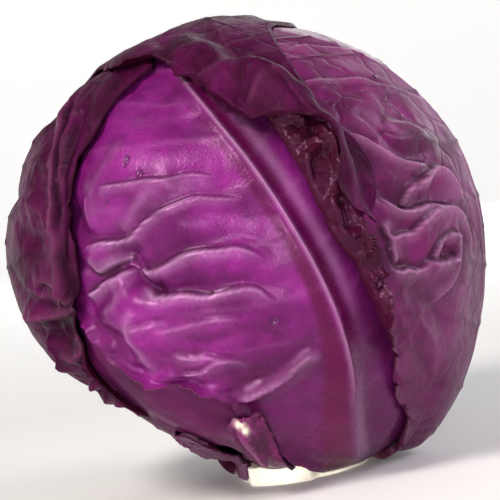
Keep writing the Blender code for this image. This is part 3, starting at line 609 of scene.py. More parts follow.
# %% Shell mesh
def shell(name, outer, inner, marks, more, places):
    """One closed mesh of quads from two grids of points, with its UV map and its marks."""
    rows, columns = outer.shape[:2]
    total = rows * columns
    index = np.arange(total).reshape(rows, columns)
    outside = np.stack([index[:-1, :-1], index[1:, :-1], index[1:, 1:], index[:-1, 1:]], -1).reshape(-1, 4)
    rim = np.concatenate([index[0, :-1], index[:-1, -1], index[-1, :0:-1], index[:0:-1, 0]])
    following = np.roll(rim, -1)
    wall = np.stack([rim, following, following + total, rim + total], -1)
    points = np.vstack([outer.reshape(-1, 3), inner.reshape(-1, 3)])
    faces = np.vstack([outside, outside[:, ::-1] + total, wall])
    corners = points[faces]
    crossed = np.cross(corners[:, 2] - corners[:, 0], corners[:, 3] - corners[:, 1])
    if np.sum(corners.mean(axis=1) * crossed) < 0:
        faces = faces[:, ::-1]
    mesh = bpy.data.meshes.new(name)
    mesh.from_pydata(points.tolist(), [], faces.tolist())
    corner_points = np.empty(len(mesh.loops), np.int32)
    mesh.loops.foreach_get("vertex_index", corner_points)
    flat = np.vstack([places.reshape(-1, 2)] * 2)
    mesh.uv_layers.new(name="leaf").data.foreach_set("uv", flat[corner_points].astype(np.float32).ravel())
    more = np.vstack([more.reshape(-1, 4)] * 2)
    more[total:, 1] = 1.0
    for label, values in (("marks", np.vstack([marks.reshape(-1, 4)] * 2)), ("more", more)):
        layer = mesh.color_attributes.new(name=label, type="FLOAT_COLOR", domain="POINT")
        layer.data.foreach_set("color", values.astype(np.float32).ravel())
    return mesh


def add_piece(mesh, finish, node):
    """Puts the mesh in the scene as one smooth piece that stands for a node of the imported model."""
    mesh.materials.append(finish)
    mesh.shade_smooth()
    mesh.set_sharp_from_angle(angle=np.radians(85))
    piece = bpy.data.objects.new(mesh.name, mesh)
    bpy.context.scene.collection.objects.link(piece)
    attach(piece, "root")
    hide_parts(node)
    low, high = mesh_box(mesh)
    print(mesh.name, len(mesh.polygons), "faces, mm:", np.round((high - low) / MM).astype(int))


def mesh_box(mesh):
    """Lowest and highest corner of a mesh."""
    points = np.empty(3 * len(mesh.vertices), np.float32)
    mesh.vertices.foreach_get("co", points)
    points = points.reshape(-1, 3)
    return points.min(axis=0), points.max(axis=0)


# %% [markdown]
# ## Nodes in one line
# A procedural material is a small network. One function adds a node with its settings and its links, so a
# material below reads as a list of what feeds what. Colours are written as the hex values of a colour
# picker and turned to linear light here, because Blender's sockets are linear.

# %% Node helpers
def linear(code):
    """An sRGB hex colour as linear RGBA: each channel / 12.92 when dark, else ((c + 0.055) / 1.055)^2.4."""
    channels = np.array([int(code[k : k + 2], 16) for k in (1, 3, 5)]) / 255
    bright = ((channels + 0.055) / 1.055) ** 2.4
    return (*np.where(channels <= 0.04045, channels / 12.92, bright).tolist(), 1.0)


def add(tree, kind, *values, out=0, **named):
    """Adds a node and gives one of its outputs.

    The values go to its sockets in their order, and None leaves a socket as it is. A named value is a
    socket if the name has a capital letter, and else a setting. A value that is an output is linked.
    """
    node = tree.nodes.new("ShaderNode" + kind)
    for name, value in named.items():
        if name.islower():
            setattr(node, name, value)
    shown = [socket for socket in node.inputs if socket.enabled]
    sockets = {node.inputs[name.replace("_", " ")]: named[name] for name in named if not name.islower()}
    for socket, value in [*zip(shown, values), *sockets.items()]:
        if isinstance(value, bpy.types.NodeSocket):
            tree.links.new(value, socket)
        elif value is not None:
            socket.default_value = value
    return node.outputs[out] if isinstance(out, str) else [o for o in node.outputs if o.enabled][out]


def new_finish(name):
    """A material with its node tree and its shader."""
    made = bpy.data.materials.new(name)
    made.use_nodes = True
    return made, made.node_tree, made.node_tree.nodes["Principled BSDF"]


# %% [markdown]
# ## The finish of a red cabbage leaf
# The real surface is a thin blade full of purple pigment under a waxy cuticle. The pigment is strongest in
# the skin of the ribs, thin veins sink between the pillows of an older leaf, and the wax makes a pale bloom
# that rubs off. The finish gives a satin gloss and blotches of magenta and violet; the pale crests are partly
# the veins' own colour and partly painted highlight, the wine-dark creases are painted shade, the rib's
# wine-dark flanks are partly its own colour and partly painted shade, and a pale band over the head's right
# side is painted sheen. The sunken veins are the edges of a warped Voronoi pattern in the leaf's own UV
# metres, so that they run with the leaf, and their dark colour is painted shade; blotches, speckle, bloom and
# crumpling are noise at their real sizes. A painted image would also work, but it would blur up close and
# could not be re-used at another size.

# %% Leaf finish
VEIN_CELL = 0.0135
VEIN_BEND = 0.012
VEIN_BEND_SIZE = 1 / 70
BLOTCH = 0.017
MOTTLE = 0.0040
GRAIN = 0.0008
BLOOM_PATCH = 1 / 34
WRINKLE = 0.0048
BUMP_DEPTH = 0.0006
LEAF_IOR = 1.42
SPECULAR_TINT = "#EFB4E8"
CUT_FLESH = "#E9DCCB"
RIGHT_SIDE_SHEEN_SPAN = (0.046, 0.066)


def leaf_finish(name, bright, deep, pale_and_highlight, flank_colour_and_shade, crease, edge, inside, bloom, wax, rough, veins=0.0,
                wrinkle=0.0, shine=0.35, root="#4A1238", pale_stalk="#74486A", right_side_sheen=0.0):
    """Waxy living leaf: pigment blotches, sunken veins and creases in painted shade, pale crests partly in
    painted highlight, bloom with a painted sheen on the head's right side, satin gloss.
    """
    made, tree, shader = new_finish(name)
    space = add(tree, "TexCoord", out="Object")
    leaf_uv = add(tree, "UVMap", uv_map="leaf")
    marks = add(tree, "Attribute", attribute_name="marks")
    more = add(tree, "Attribute", attribute_name="more")
    crest, crease_shade, rib = add(tree, "SeparateColor", marks).node.outputs
    cut, inner_side, foot = add(tree, "SeparateColor", more).node.outputs
    stalk = more.node.outputs["Alpha"]
    rim = add(tree, "MapRange", marks.node.outputs["Alpha"], 0.75, 1.0)

    blotch = add(tree, "TexNoise", space, 1 / BLOTCH, 3.0, 0.55)
    mottle = add(tree, "TexNoise", space, 1 / MOTTLE, 4.0, 0.65)
    grain = add(tree, "TexNoise", space, 1 / GRAIN, 2.0, 0.6)
    haze = add(tree, "TexNoise", space, 1 / BLOOM_PATCH, 5.0, 0.7)
    bend = add(tree, "TexNoise", leaf_uv, 1 / VEIN_BEND_SIZE, 3.0, out="Color", noise_dimensions="2D")
    shift = add(tree, "VectorMath", bend, VEIN_BEND, operation="SCALE")
    warped = add(tree, "VectorMath", leaf_uv, shift, operation="ADD")
    cells = add(
        tree, "TexVoronoi", warped, 1 / VEIN_CELL, feature="DISTANCE_TO_EDGE", voronoi_dimensions="2D"
    )
    # painted sheen: a pale band laid over the head's right side by place, standing in for the light on that
    # rim
    right_side_sheen_mask = add(tree, "MapRange", add(tree, "SeparateXYZ", space), *RIGHT_SIDE_SHEEN_SPAN, 0.0, right_side_sheen)
    wax_and_side_sheen = add(tree, "Math", right_side_sheen_mask, wax, operation="ADD")
    bloom_and_side_sheen = add(tree, "Math", add(tree, "MapRange", haze, 0.42, 0.68), wax_and_side_sheen, operation="MULTIPLY")

    colour = linear(deep)
    for mask, amount, shade in (
        (add(tree, "MapRange", blotch, 0.36, 0.64), 1.0, bright),
        (add(tree, "MapRange", mottle, 0.35, 0.75), 0.45, deep),
        (add(tree, "MapRange", grain, 0.40, 0.62), 0.32, deep),
        # painted shade in the sunken veins
        (add(tree, "MapRange", cells, 0.0, 0.05, 1.0, 0.0), veins, crease),
        (bloom_and_side_sheen, 1.0, bloom),
        # crests: partly the veins' pale colour, partly painted highlight
        (crest, 0.54, pale_and_highlight),
        # painted shade in the creases
        (crease_shade, 0.80, crease),
        (foot, 0.80, root),
        # rib flanks: the rib's own wine colour with painted shade
        (rib, 0.92, flank_colour_and_shade),
        (stalk, 0.85, pale_stalk),
        (rim, 0.60, edge),
        (inner_side, 0.90, inside),
        (cut, 1.0, CUT_FLESH),
    ):
        share = add(tree, "Math", mask, amount, operation="MULTIPLY")
        colour = add(tree, "Mix", share, colour, linear(shade), data_type="RGBA")
    tree.links.new(colour, shader.inputs["Base Color"])

    gloss = add(tree, "MapRange", mottle, 0.3, 0.75, rough - 0.07, rough + 0.13)
    for mask, amount in ((bloom_and_side_sheen, 0.14), (crest, -0.12), (inner_side, -0.07)):
        gloss = add(tree, "Math", mask, amount, gloss, operation="MULTIPLY_ADD")
    tree.links.new(gloss, shader.inputs["Roughness"])

    crumpling = add(tree, "TexNoise", space, 1 / WRINKLE, 3.0, Distortion=0.8)
    ridge = add(tree, "Math", add(tree, "Math", crumpling, 0.5, operation="SUBTRACT"), operation="ABSOLUTE")
    least = add(tree, "Math", inner_side, 0.45, operation="MULTIPLY")
    amount = add(tree, "Math", least, wrinkle, operation="MAXIMUM")
    crumple_height = add(tree, "Math", ridge, amount, operation="MULTIPLY")
    raised = 0.0
    for mask, height in (
        (mottle, 0.7),
        (add(tree, "MapRange", cells, 0.0, 0.12, 1.0, 0.0), -1.4 * veins),
        (grain, 0.30),
        (crumple_height, -6.0),
    ):
        raised = add(tree, "Math", mask, height, raised, operation="MULTIPLY_ADD")
    bump = add(tree, "Bump", Strength=0.45, Distance=BUMP_DEPTH, Height=raised)
    tree.links.new(bump, shader.inputs["Normal"])
    shader.inputs["IOR"].default_value = LEAF_IOR
    shader.inputs["Specular IOR Level"].default_value = shine
    shader.inputs["Specular Tint"].default_value = linear(SPECULAR_TINT)
    print("finish:", name, len(tree.nodes), "nodes")
    return made


# %% [markdown]
# ### Four skins
# The front leaf is fresh and glossy, so its magenta is bright and its crests shine, partly with a painted
# highlight. The right leaf is older: darker, with sunken veins in painted shade, and a pale bloom painted
# over the head's right side as sheen. The wilted leaves have lost their wax and are dull and finely crumpled.
# The lower leaf and its neighbour are an even, smooth plum.

# %% Leaf colours
magenta_leaf = leaf_finish(
    "waxy_magenta_leaf", bright="#922186", deep="#5A0B50", pale_and_highlight="#E0A6D8", flank_colour_and_shade="#4E022E", crease="#2C021A",
    edge="#4E1236", inside="#4A1230", bloom="#883C80", wax=0.13, rough=0.27, shine=0.50, root="#3E0C2E",
)
purple_leaf = leaf_finish(
    "waxy_purple_leaf", bright="#78195F", deep="#470634", pale_and_highlight="#CC8CBA", flank_colour_and_shade="#4A082E", crease="#250214",
    edge="#3C1226", inside="#360A1C", bloom="#8C5C82", wax=0.14, rough=0.31, veins=0.5, right_side_sheen=0.60,
)
wilted_leaf = leaf_finish(
    "dull_wilted_leaf", bright="#5A1048", deep="#320520", pale_and_highlight="#7C4064", flank_colour_and_shade="#3E0A26", crease="#170210",
    edge="#2C0E1A", inside="#34091E", bloom="#50283F", wax=0.18, rough=0.43, veins=0.45, wrinkle=0.16,
    shine=0.12,
)
plum_leaf = leaf_finish(
    "smooth_plum_leaf", bright="#5A134A", deep="#3A082E", pale_and_highlight="#7C4072", flank_colour_and_shade="#460A30", crease="#2C061E",
    edge="#43152F", inside="#3E1028", bloom="#5E3456", wax=0.16, rough=0.34, veins=0.1,
)

# %% [markdown]
# ## The leaves, from the inside out
# Each leaf below is a set of numbers that a grower could read off the head: where its foot sits on the stem,
# the course of its margins and midrib, how far it stands off the ball, and its creases, crests and hems. The
# hem of an ordinary margin is nearly flat; the right leaf's left hem is a cuff that is folded right back.

# %% Hems and leaf builder
def hem(turn, length, radius=1.5, torn=0.5, notches=16):
    """How one margin curls: turn in degrees and length in mm along v, bend radius, depth of notches."""
    return {"turn": turn, "length": length, "radius": radius, "torn": torn, "notches": notches}


def flat_hem(torn=0.5):
    """An ordinary margin: 1.5 mm of hem that lifts off by no more than ten degrees."""
    return hem([(0, 0), (1, 10)], [(0, 0.6), (0.12, 1.5), (1, 1.5)], torn=torn)


PLAIN_LEAF = {
    "spine": 0.0, "vein_light_and_shade": 0.2, "folds": [], "creases": [], "crests": [], "dishes": [],
    "pale_spots": [], "shade_paths": [], "wilted": [],
}


def add_leaf(leaf, finish):
    """Makes the leaf over what is in place, and lays it on the map for the next one."""
    leaf = PLAIN_LEAF | leaf
    outer, inner, marks, more, places = leaf_surface(leaf)
    lay_on(underlay, outer)
    lay_on(underlay, inner)
    add_piece(shell("fine_" + leaf["name"], outer, inner, marks, more, places), finish, leaf["name"])
    return outer


# %% [markdown]
# ### Lower left leaf
# A smooth plum band shows below the front leaf's torn margin. It is a calm leaf with hardly any relief, so
# its numbers are few: a broad low rib and a crisp free edge.

# %% Lower left leaf
add_leaf(
    {
        "name": "lower_left_leaf",
        "seed": 100,
        "grid": (110, (46, 40), (4, 4)),
        "base": ((-70, 10.0), (-30, 10.2), (16, 10.2)),
        "root": 1.8,
        "left": [(-19, -57), (-29, -47), (-40, -38), (-48, -28), (-53, -16), (-58, -3), (-60, 8)],
        "mid": [(-14, -51), (-25, -42), (-35, -32), (-43, -20), (-48, -8), (-52, 5), (-55, 16)],
        "right": [(8, -52), (2, -42), (-8, -30), (-20, -18), (-32, -6), (-43, 6), (-49, 13)],
        "rib": (3.0, 15.0, 15.0),
        "lift": [
            (0.0, (0.0, 0.0, 0.0, 0.0, 0.0)),
            (0.2, (-0.5, 0.0, 0.0, -2.0, -4.5)),
            (0.5, (-0.5, 0.0, -0.5, -3.5, -6.0)),
            (0.7, (-1.0, -1.5, -3.0, -5.0, -6.0)),
            (1.0, (-5.0, -5.0, -5.0, -6.0, -6.0)),
        ],
        "ruffle": ((0.6, 0.0), 5, 3),
        "side_veins": (9, 0.16, 0.15),
        "crests": [(0.7, 0.4, 2.0, [(6, -47), (-8, -42), (-20, -35), (-32, -26)])],
        "hem_folds": (0.2, 5.2),
        "hems": (flat_hem(0.3), flat_hem(0.3)),
    },
    plum_leaf,
)

# %% [markdown]
# ### Front leaf
# The big bright leaf. Its midrib sweeps up from the stem to the left of the crown, with a sharp crest and a
# steep right flank that is wine-dark, partly with painted shade. Between the side veins the blade is pushed
# out in pillows; the creases are deepest by the left margin, and they and the bands where other leaves lie
# over it carry painted shade. The lower left margin is torn and curls out over a fold.

# %% Front leaf
front_outer = add_leaf(
    {
        "name": "front_leaf",
        "seed": 200,
        "grid": (248, (112, 54), (14, 4)),
        "base": ((16, 1.4), (42, 1.2), (68, 1.2)),
        "root": 3.0,
        "left": [
            (6, -62), (-2, -54), (-6, -46), (-7, -38), (-12, -31), (-20, -26), (-30, -23), (-38, -18),
                (-44, -11),
            (-53, 0), (-58, 15), (-60, 32), (-60, 47), (-60, 60), (-66, 71),
        ],
        "mid": [
            (27, -52), (23, -40), (21, -28), (18, -16), (14, -3), (9, 11), (4, 23), (-3, 36), (-11, 48),
            (-22, 60), (-40, 69), (-66, 75),
        ],
        "right": [
            (66, -64), (60, -55), (56, -42), (52, -30), (48, -18), (45, -5), (42, 8), (39, 22), (36, 36),
                (30, 50),
            (14, 64), (-20, 75), (-66, 79),
        ],
        "rib": (8.5, 12.0, 5.0),
        "spine": 1.9,
        "lift": [
            (0.0, (0.0, 0.0, 0.0, 0.0, 0.0)),
            (0.12, (-1.0, -0.5, 0.0, 0.0, -2.0)),
            (0.22, (-1.0, -2.5, -1.0, -1.0, -4.0)),
            (0.3, (2.0, 1.5, -0.5, -2.0, -6.0)),
            (0.5, (0.5, 2.5, 0.0, -2.0, -6.2)),
            (0.7, (-4.5, 2.5, -0.5, -2.0, -6.2)),
            (0.85, (-6.0, 1.5, -1.0, -3.0, -6.2)),
            (1.0, (-6.2, -3.0, -2.5, -4.0, -6.2)),
        ],
        "ruffle": ((2.0, 0.0), 9, 11),
        "side_veins": (12, 0.10, 0.20),
        "vein_light_and_shade": 0.12,
        "folds": [
            (1.3, 0.6, 4.0, 5.0, [(-37, 23), (-32, 23), (-25, 23), (-18, 23), (-11, 23), (-4, 22)]),
            (2.0, 0.7, 3.5, 5.0, [(-44, 10), (-38, 11), (-35, 11), (-29, 11), (-23, 14), (-15, 17),
                (-6, 17), (2, 15)]),
            (3.0, 0.7, 3.5, 5.5, [(-30, 2), (-28, 3), (-25, 2), (-21, 3), (-14, 5), (-8, 5), (-4, 5),
                (-1, 4), (4, 1)]),
            (2.6, 0.6, 3.5, 5.0, [(-28, -1), (-25, -4), (-23, -4), (-18, -4), (-13, -5), (-5, -5),
                (0, -6), (5, -10)]),
            (0.7, 0.4, 3.0, 4.0, [(-27, -12), (-21, -12), (-17, -11), (-10, -11), (-4, -12)]),
            (0.9, 0.4, 2.0, 3.0, [(-32, -10), (-29, -10), (-25, -10), (-22, -11)]),
            (2.4, 2.0, 3.0, 4.0, [(-45, -2), (-43, -1), (-38, 1), (-35, 2), (-32, 3), (-29, 3)]),
            (2.6, 2.2, 2.5, 4.0, [(-30, 8), (-31, 6), (-33, 5), (-36, 4), (-39, 3), (-41, 4), (-44, 7)]),
            (1.2, 0.6, 3.0, 3.0, [(-23, -18), (-18, -19), (-15, -19), (-11, -21), (-7, -22)]),
            (1.3, 0.6, 2.0, 3.0, [(-22, -23), (-17, -23), (-13, -21), (-8, -22), (-4, -25)]),
        ],
        "creases": [
            (3.5, 1.0, 5.0, [(-49, 19), (-44, 15), (-39, 12), (-33, 12), (-28, 13), (-22, 16), (-14, 18),
                (-4, 19)]),
            (3.5, 3.0, 4.5, [(-27, 8), (-31, 7), (-34, 5), (-37, 4), (-42, 5), (-47, 7)]),
            (4.0, 1.0, 5.0, [(-31, 7), (-28, 4), (-22, 4), (-16, 6), (-9, 7), (-2, 7), (5, 4)]),
            (5.5, 5.5, 3.2, [(-30, 6), (-28, 1), (-26, -2), (-24, -3)]),
            (3.5, 1.0, 5.0, [(-26, -2), (-20, -3), (-12, -3), (-4, -3), (4, -6)]),
            (2.0, 1.5, 4.0, [(-25, -10), (-18, -9), (-11, -8), (-3, -10)]),
            (4.5, 3.0, 4.0, [(-48, -4), (-44, -8), (-39, -12), (-37, -17)]),
            (4.0, 2.5, 6.0, [(-9, -29), (-2, -29), (4, -27), (8, -24), (12, -22)]),
            (2.5, 2.5, 5.0, [(-20, -15), (-12, -16), (-4, -15), (4, -18)]),
            (2.0, 1.0, 7.0, [(-42, 38), (-30, 36), (-18, 37), (-8, 38)]),
            (1.5, 1.0, 6.0, [(-34, 50), (-24, 46), (-14, 48)]),
            (3.5, 1.5, 6.0, [(-12, -36), (0, -37), (9, -32), (15, -26)]),
        ],
        "crests": [
            (1.4, 0.8, 3.0, [(-31, 12), (-28, 14), (-23, 19), (-19, 22), (-14, 23)]),
            (0.9, 0.6, 1.3, [(-41, 22), (-41, 18), (-40, 14)]),
            (0.6, 0.5, 2.0, [(-40, 21), (-36, 26), (-33, 31), (-30, 34)]),
            (0.9, 0.9, 2.0, [(-30, 3), (-30, 1), (-32, -1), (-34, -3), (-36, -5), (-39, -7)]),
            (1.6, 1.8, 2.4, [(-30, -5), (-31, -7), (-32, -10), (-33, -13), (-32, -16), (-30, -20),
                (-28, -22)]),
            (3.6, 2.4, 2.2, [(-11, -33), (-6, -33), (-1, -32), (3, -30), (7, -27), (11, -25), (15, -25)]),
        ],
        "dishes": [(2.5, 9.0, (-3, -23)), (2.0, 6.0, (-21, 9)), (1.6, 6.0, (-14, -1)), (2.0, 5.0, (-39, -2))],
        # painted shade along the edges of the leaves that lie over this one and by its lower fold
        "shade_paths": [
            (0.62, 8.0, [(-12, 50), (-4, 46), (5, 38), (12, 31), (18, 26), (20, 16), (24, 6), (27, -6),
                (30, -20), (38, -30)]),
            (0.45, 6.0, [(-60, 52), (-58, 34), (-56, 20), (-53, 10), (-50, 2), (-46, -8), (-42, -16)]),
            (0.40, 7.0, [(-12, 48), (-26, 53), (-42, 56), (-58, 54)]),
            (0.30, 11.0, [(-52, 42), (-36, 40), (-20, 40), (-8, 42)]),
            (0.45, 7.0, [(-8, -25), (-1, -27), (6, -25), (11, -22)]),
            (0.40, 10.0, [(2, -44), (12, -42), (22, -40)]),
        ],
        "wilted": [(1.6, 6.0, (-36, -14), 9), (1.0, 5.0, (-24, -24), 8)],
        "hem_folds": (1.6, 5.2),
        "hems": (
            hem(
                [(0, 0), (0.12, 20), (0.2, 50), (0.42, 60), (0.5, 10), (1, 10)],
                [(0, 0.6), (0.12, 2), (0.2, 4), (0.42, 4.5), (0.5, 1.5), (1, 1.5)],
                radius=2.2, torn=1.0, notches=9,
            ),
            flat_hem(),
        ),
    },
    magenta_leaf,
)

# %% [markdown]
# ### Right leaf
# Its left margin is a dry cuff, folded back on itself and crumpled, so the dark inner side shows there.
# Behind the cuff the blade has deep pockets between sharp crests that carry a painted highlight, and a broad
# smooth stalk runs down the right side.

# %% Right leaf
right_outer = add_leaf(
    {
        "name": "right_leaf",
        "seed": 300,
        "grid": (248, (110, 40), (40, 3)),
        "base": ((83, 1.2), (105, 1.2), (128, 1.4)),
        "root": 4.0,
        "left": [
            (70, -66), (63, -59), (57, -52), (49, -46), (42, -40), (39, -34), (37, -28), (33, -22),
                (29, -15),
            (27, -8), (25, -3), (21, 3), (19, 11), (17, 20), (14, 31), (9, 43), (0, 55), (-14, 66),
                (-30, 74),
        ],
        "mid": [
            (86, -62), (84, -50), (80, -36), (78, -22), (77, -8), (76, 8), (74, 24), (68, 40), (55, 56),
            (25, 70), (-25, 79),
        ],
        "right": [
            (124, -62), (128, -48), (134, -34), (138, -18), (140, 0), (140, 18), (140, 36), (140, 54),
            (140, 70), (120, 84), (-20, 84),
        ],
        "rib": (7.0, 13.0, 13.0),
        "spine": 0.5,
        "lift": [
            (0.0, (0.0, 0.0, 0.0, 0.0, 0.0)),
            (0.15, (0.0, 2.0, 0.5, -0.5, -1.0)),
            (0.3, (0.5, 3.0, 1.0, -0.5, -2.0)),
            (0.5, (0.5, 3.0, 1.5, 0.0, -3.0)),
            (0.7, (0.0, 1.5, 0.5, -0.5, -4.5)),
            (0.85, (-1.0, 0.0, 0.0, -2.0, -4.5)),
            (1.0, (-3.5, -2.0, -2.0, -3.0, -4.5)),
        ],
        "ruffle": ((1.2, 0.0), 8, 21),
        "side_veins": (11, 0.12, 0.5),
        "vein_light_and_shade": -0.55,
        "folds": [
            (2.2, 2.2, 3.0, 5.0, [(31, 27), (35, 25), (37, 23), (40, 20), (43, 18), (48, 16), (52, 15),
                (54, 14)]),
            (1.6, 1.0, 4.0, 4.0, [(41, 5), (42, 8), (44, 10), (48, 12), (51, 13), (53, 15)]),
            (2.4, 2.2, 3.0, 3.5, [(45, 9), (48, 11), (51, 12), (55, 13), (59, 13), (62, 11), (64, 8),
                (66, 3)]),
            (2.8, 2.4, 3.5, 5.0, [(33, 11), (34, 10), (36, 8), (39, 6), (43, 5), (49, 5), (54, 4),
                (59, 3), (62, 0), (68, -10)]),
            (1.6, 1.6, 2.5, 4.0, [(33, 1), (35, 0), (38, 0), (41, 0), (44, 2), (48, 3), (52, 4)]),
            (1.8, 1.6, 2.0, 3.0, [(35, -7), (34, -3), (34, -1), (33, 1), (32, 4)]),
            (2.0, 1.8, 3.0, 4.0, [(33, -7), (36, -8), (39, -8), (42, -9), (45, -8), (48, -7)]),
            (2.2, 2.2, 3.0, 3.5, [(46, -8), (49, -8), (53, -8), (57, -8)]),
            (2.0, 2.0, 2.0, 2.5, [(47, -9), (48, -6), (50, -4), (53, -3), (56, -3), (59, -4)]),
            (1.6, 1.2, 6.0, 3.0, [(58, 0), (59, -6), (57, -10), (55, -14), (52, -17), (48, -20)]),
            (0.7, 0.5, 3.0, 4.0, [(36, 31), (38, 29), (41, 25), (43, 21)]),
            (0.7, 0.5, 3.0, 4.0, [(42, 25), (44, 27), (49, 27), (53, 26), (57, 24), (61, 21)]),
            (0.9, 0.6, 3.0, 4.0, [(22, 43), (30, 42), (46, 41), (60, 35), (74, 29)]),
            (0.9, 0.6, 3.0, 4.0, [(28, 54), (44, 55), (64, 49), (84, 43)]),
        ],
        "creases": [
            (2.0, 2.0, 4.0, [(32, 28), (37, 25), (41, 23), (45, 20), (50, 18), (55, 17)]),
            (2.0, 2.0, 4.0, [(31, 13), (35, 11), (39, 8), (44, 7), (49, 7), (54, 6)]),
            (3.5, 3.0, 5.0, [(42, -14), (48, -18), (52, -22)]),
            (3.5, 2.5, 5.0, [(45, -32), (52, -35), (58, -40)]),
            (2.5, 1.2, 5.0, [(92, -32), (108, -16), (124, 2)]),
            (2.5, 1.2, 5.0, [(90, -4), (104, 12), (120, 30)]),
            (2.5, 1.2, 5.0, [(86, 22), (96, 40), (112, 54)]),
        ],
        "crests": [
            (1.0, 0.8, 1.8, [(42, -20), (48, -26), (54, -34), (58, -42)]),
            (0.6, 0.4, 1.4, [(72, 10), (74, -6), (76, -22), (78, -38)]),
        ],
        "dishes": [
            (1.6, 7.0, (44, 13)), (3.4, 5.0, (55, 8)), (1.4, 5.0, (39, 3)), (1.2, 6.0, (42, -4)),
            (3.0, 3.6, (53, -6)), (2.0, 5.0, (48, -14)), (1.2, 7.0, (52, 30)), (1.2, 7.0, (40, 40)),
        ],
        "wilted": [(1.6, 5.0, (36, -24), 12), (0.5, 7.0, (50, 6), 16)],
        "hem_folds": (11.0, 6.5),
        "hems": (
            hem(
                [(0, 5), (0.2, 12), (0.28, 40), (0.38, 75), (0.45, 150), (0.7, 160), (0.82, 60), (1, 10)],
                [(0, 2), (0.2, 2.5), (0.3, 5), (0.38, 8), (0.46, 11), (0.56, 15), (0.66, 17), (0.75, 13),
                    (0.85, 4), (1, 1.5)],
                radius=2.2, torn=1.2, notches=7,
            ),
            flat_hem(),
        ),
    },
    purple_leaf,
)

# %% [markdown]
# ### Left leaf
# A tired leaf: grey bloom, a long ridge near its right margin and a facet that folds in behind it, darkened
# with painted shade. Its lower part is crumpled where it has dried, with painted shade along its folds.

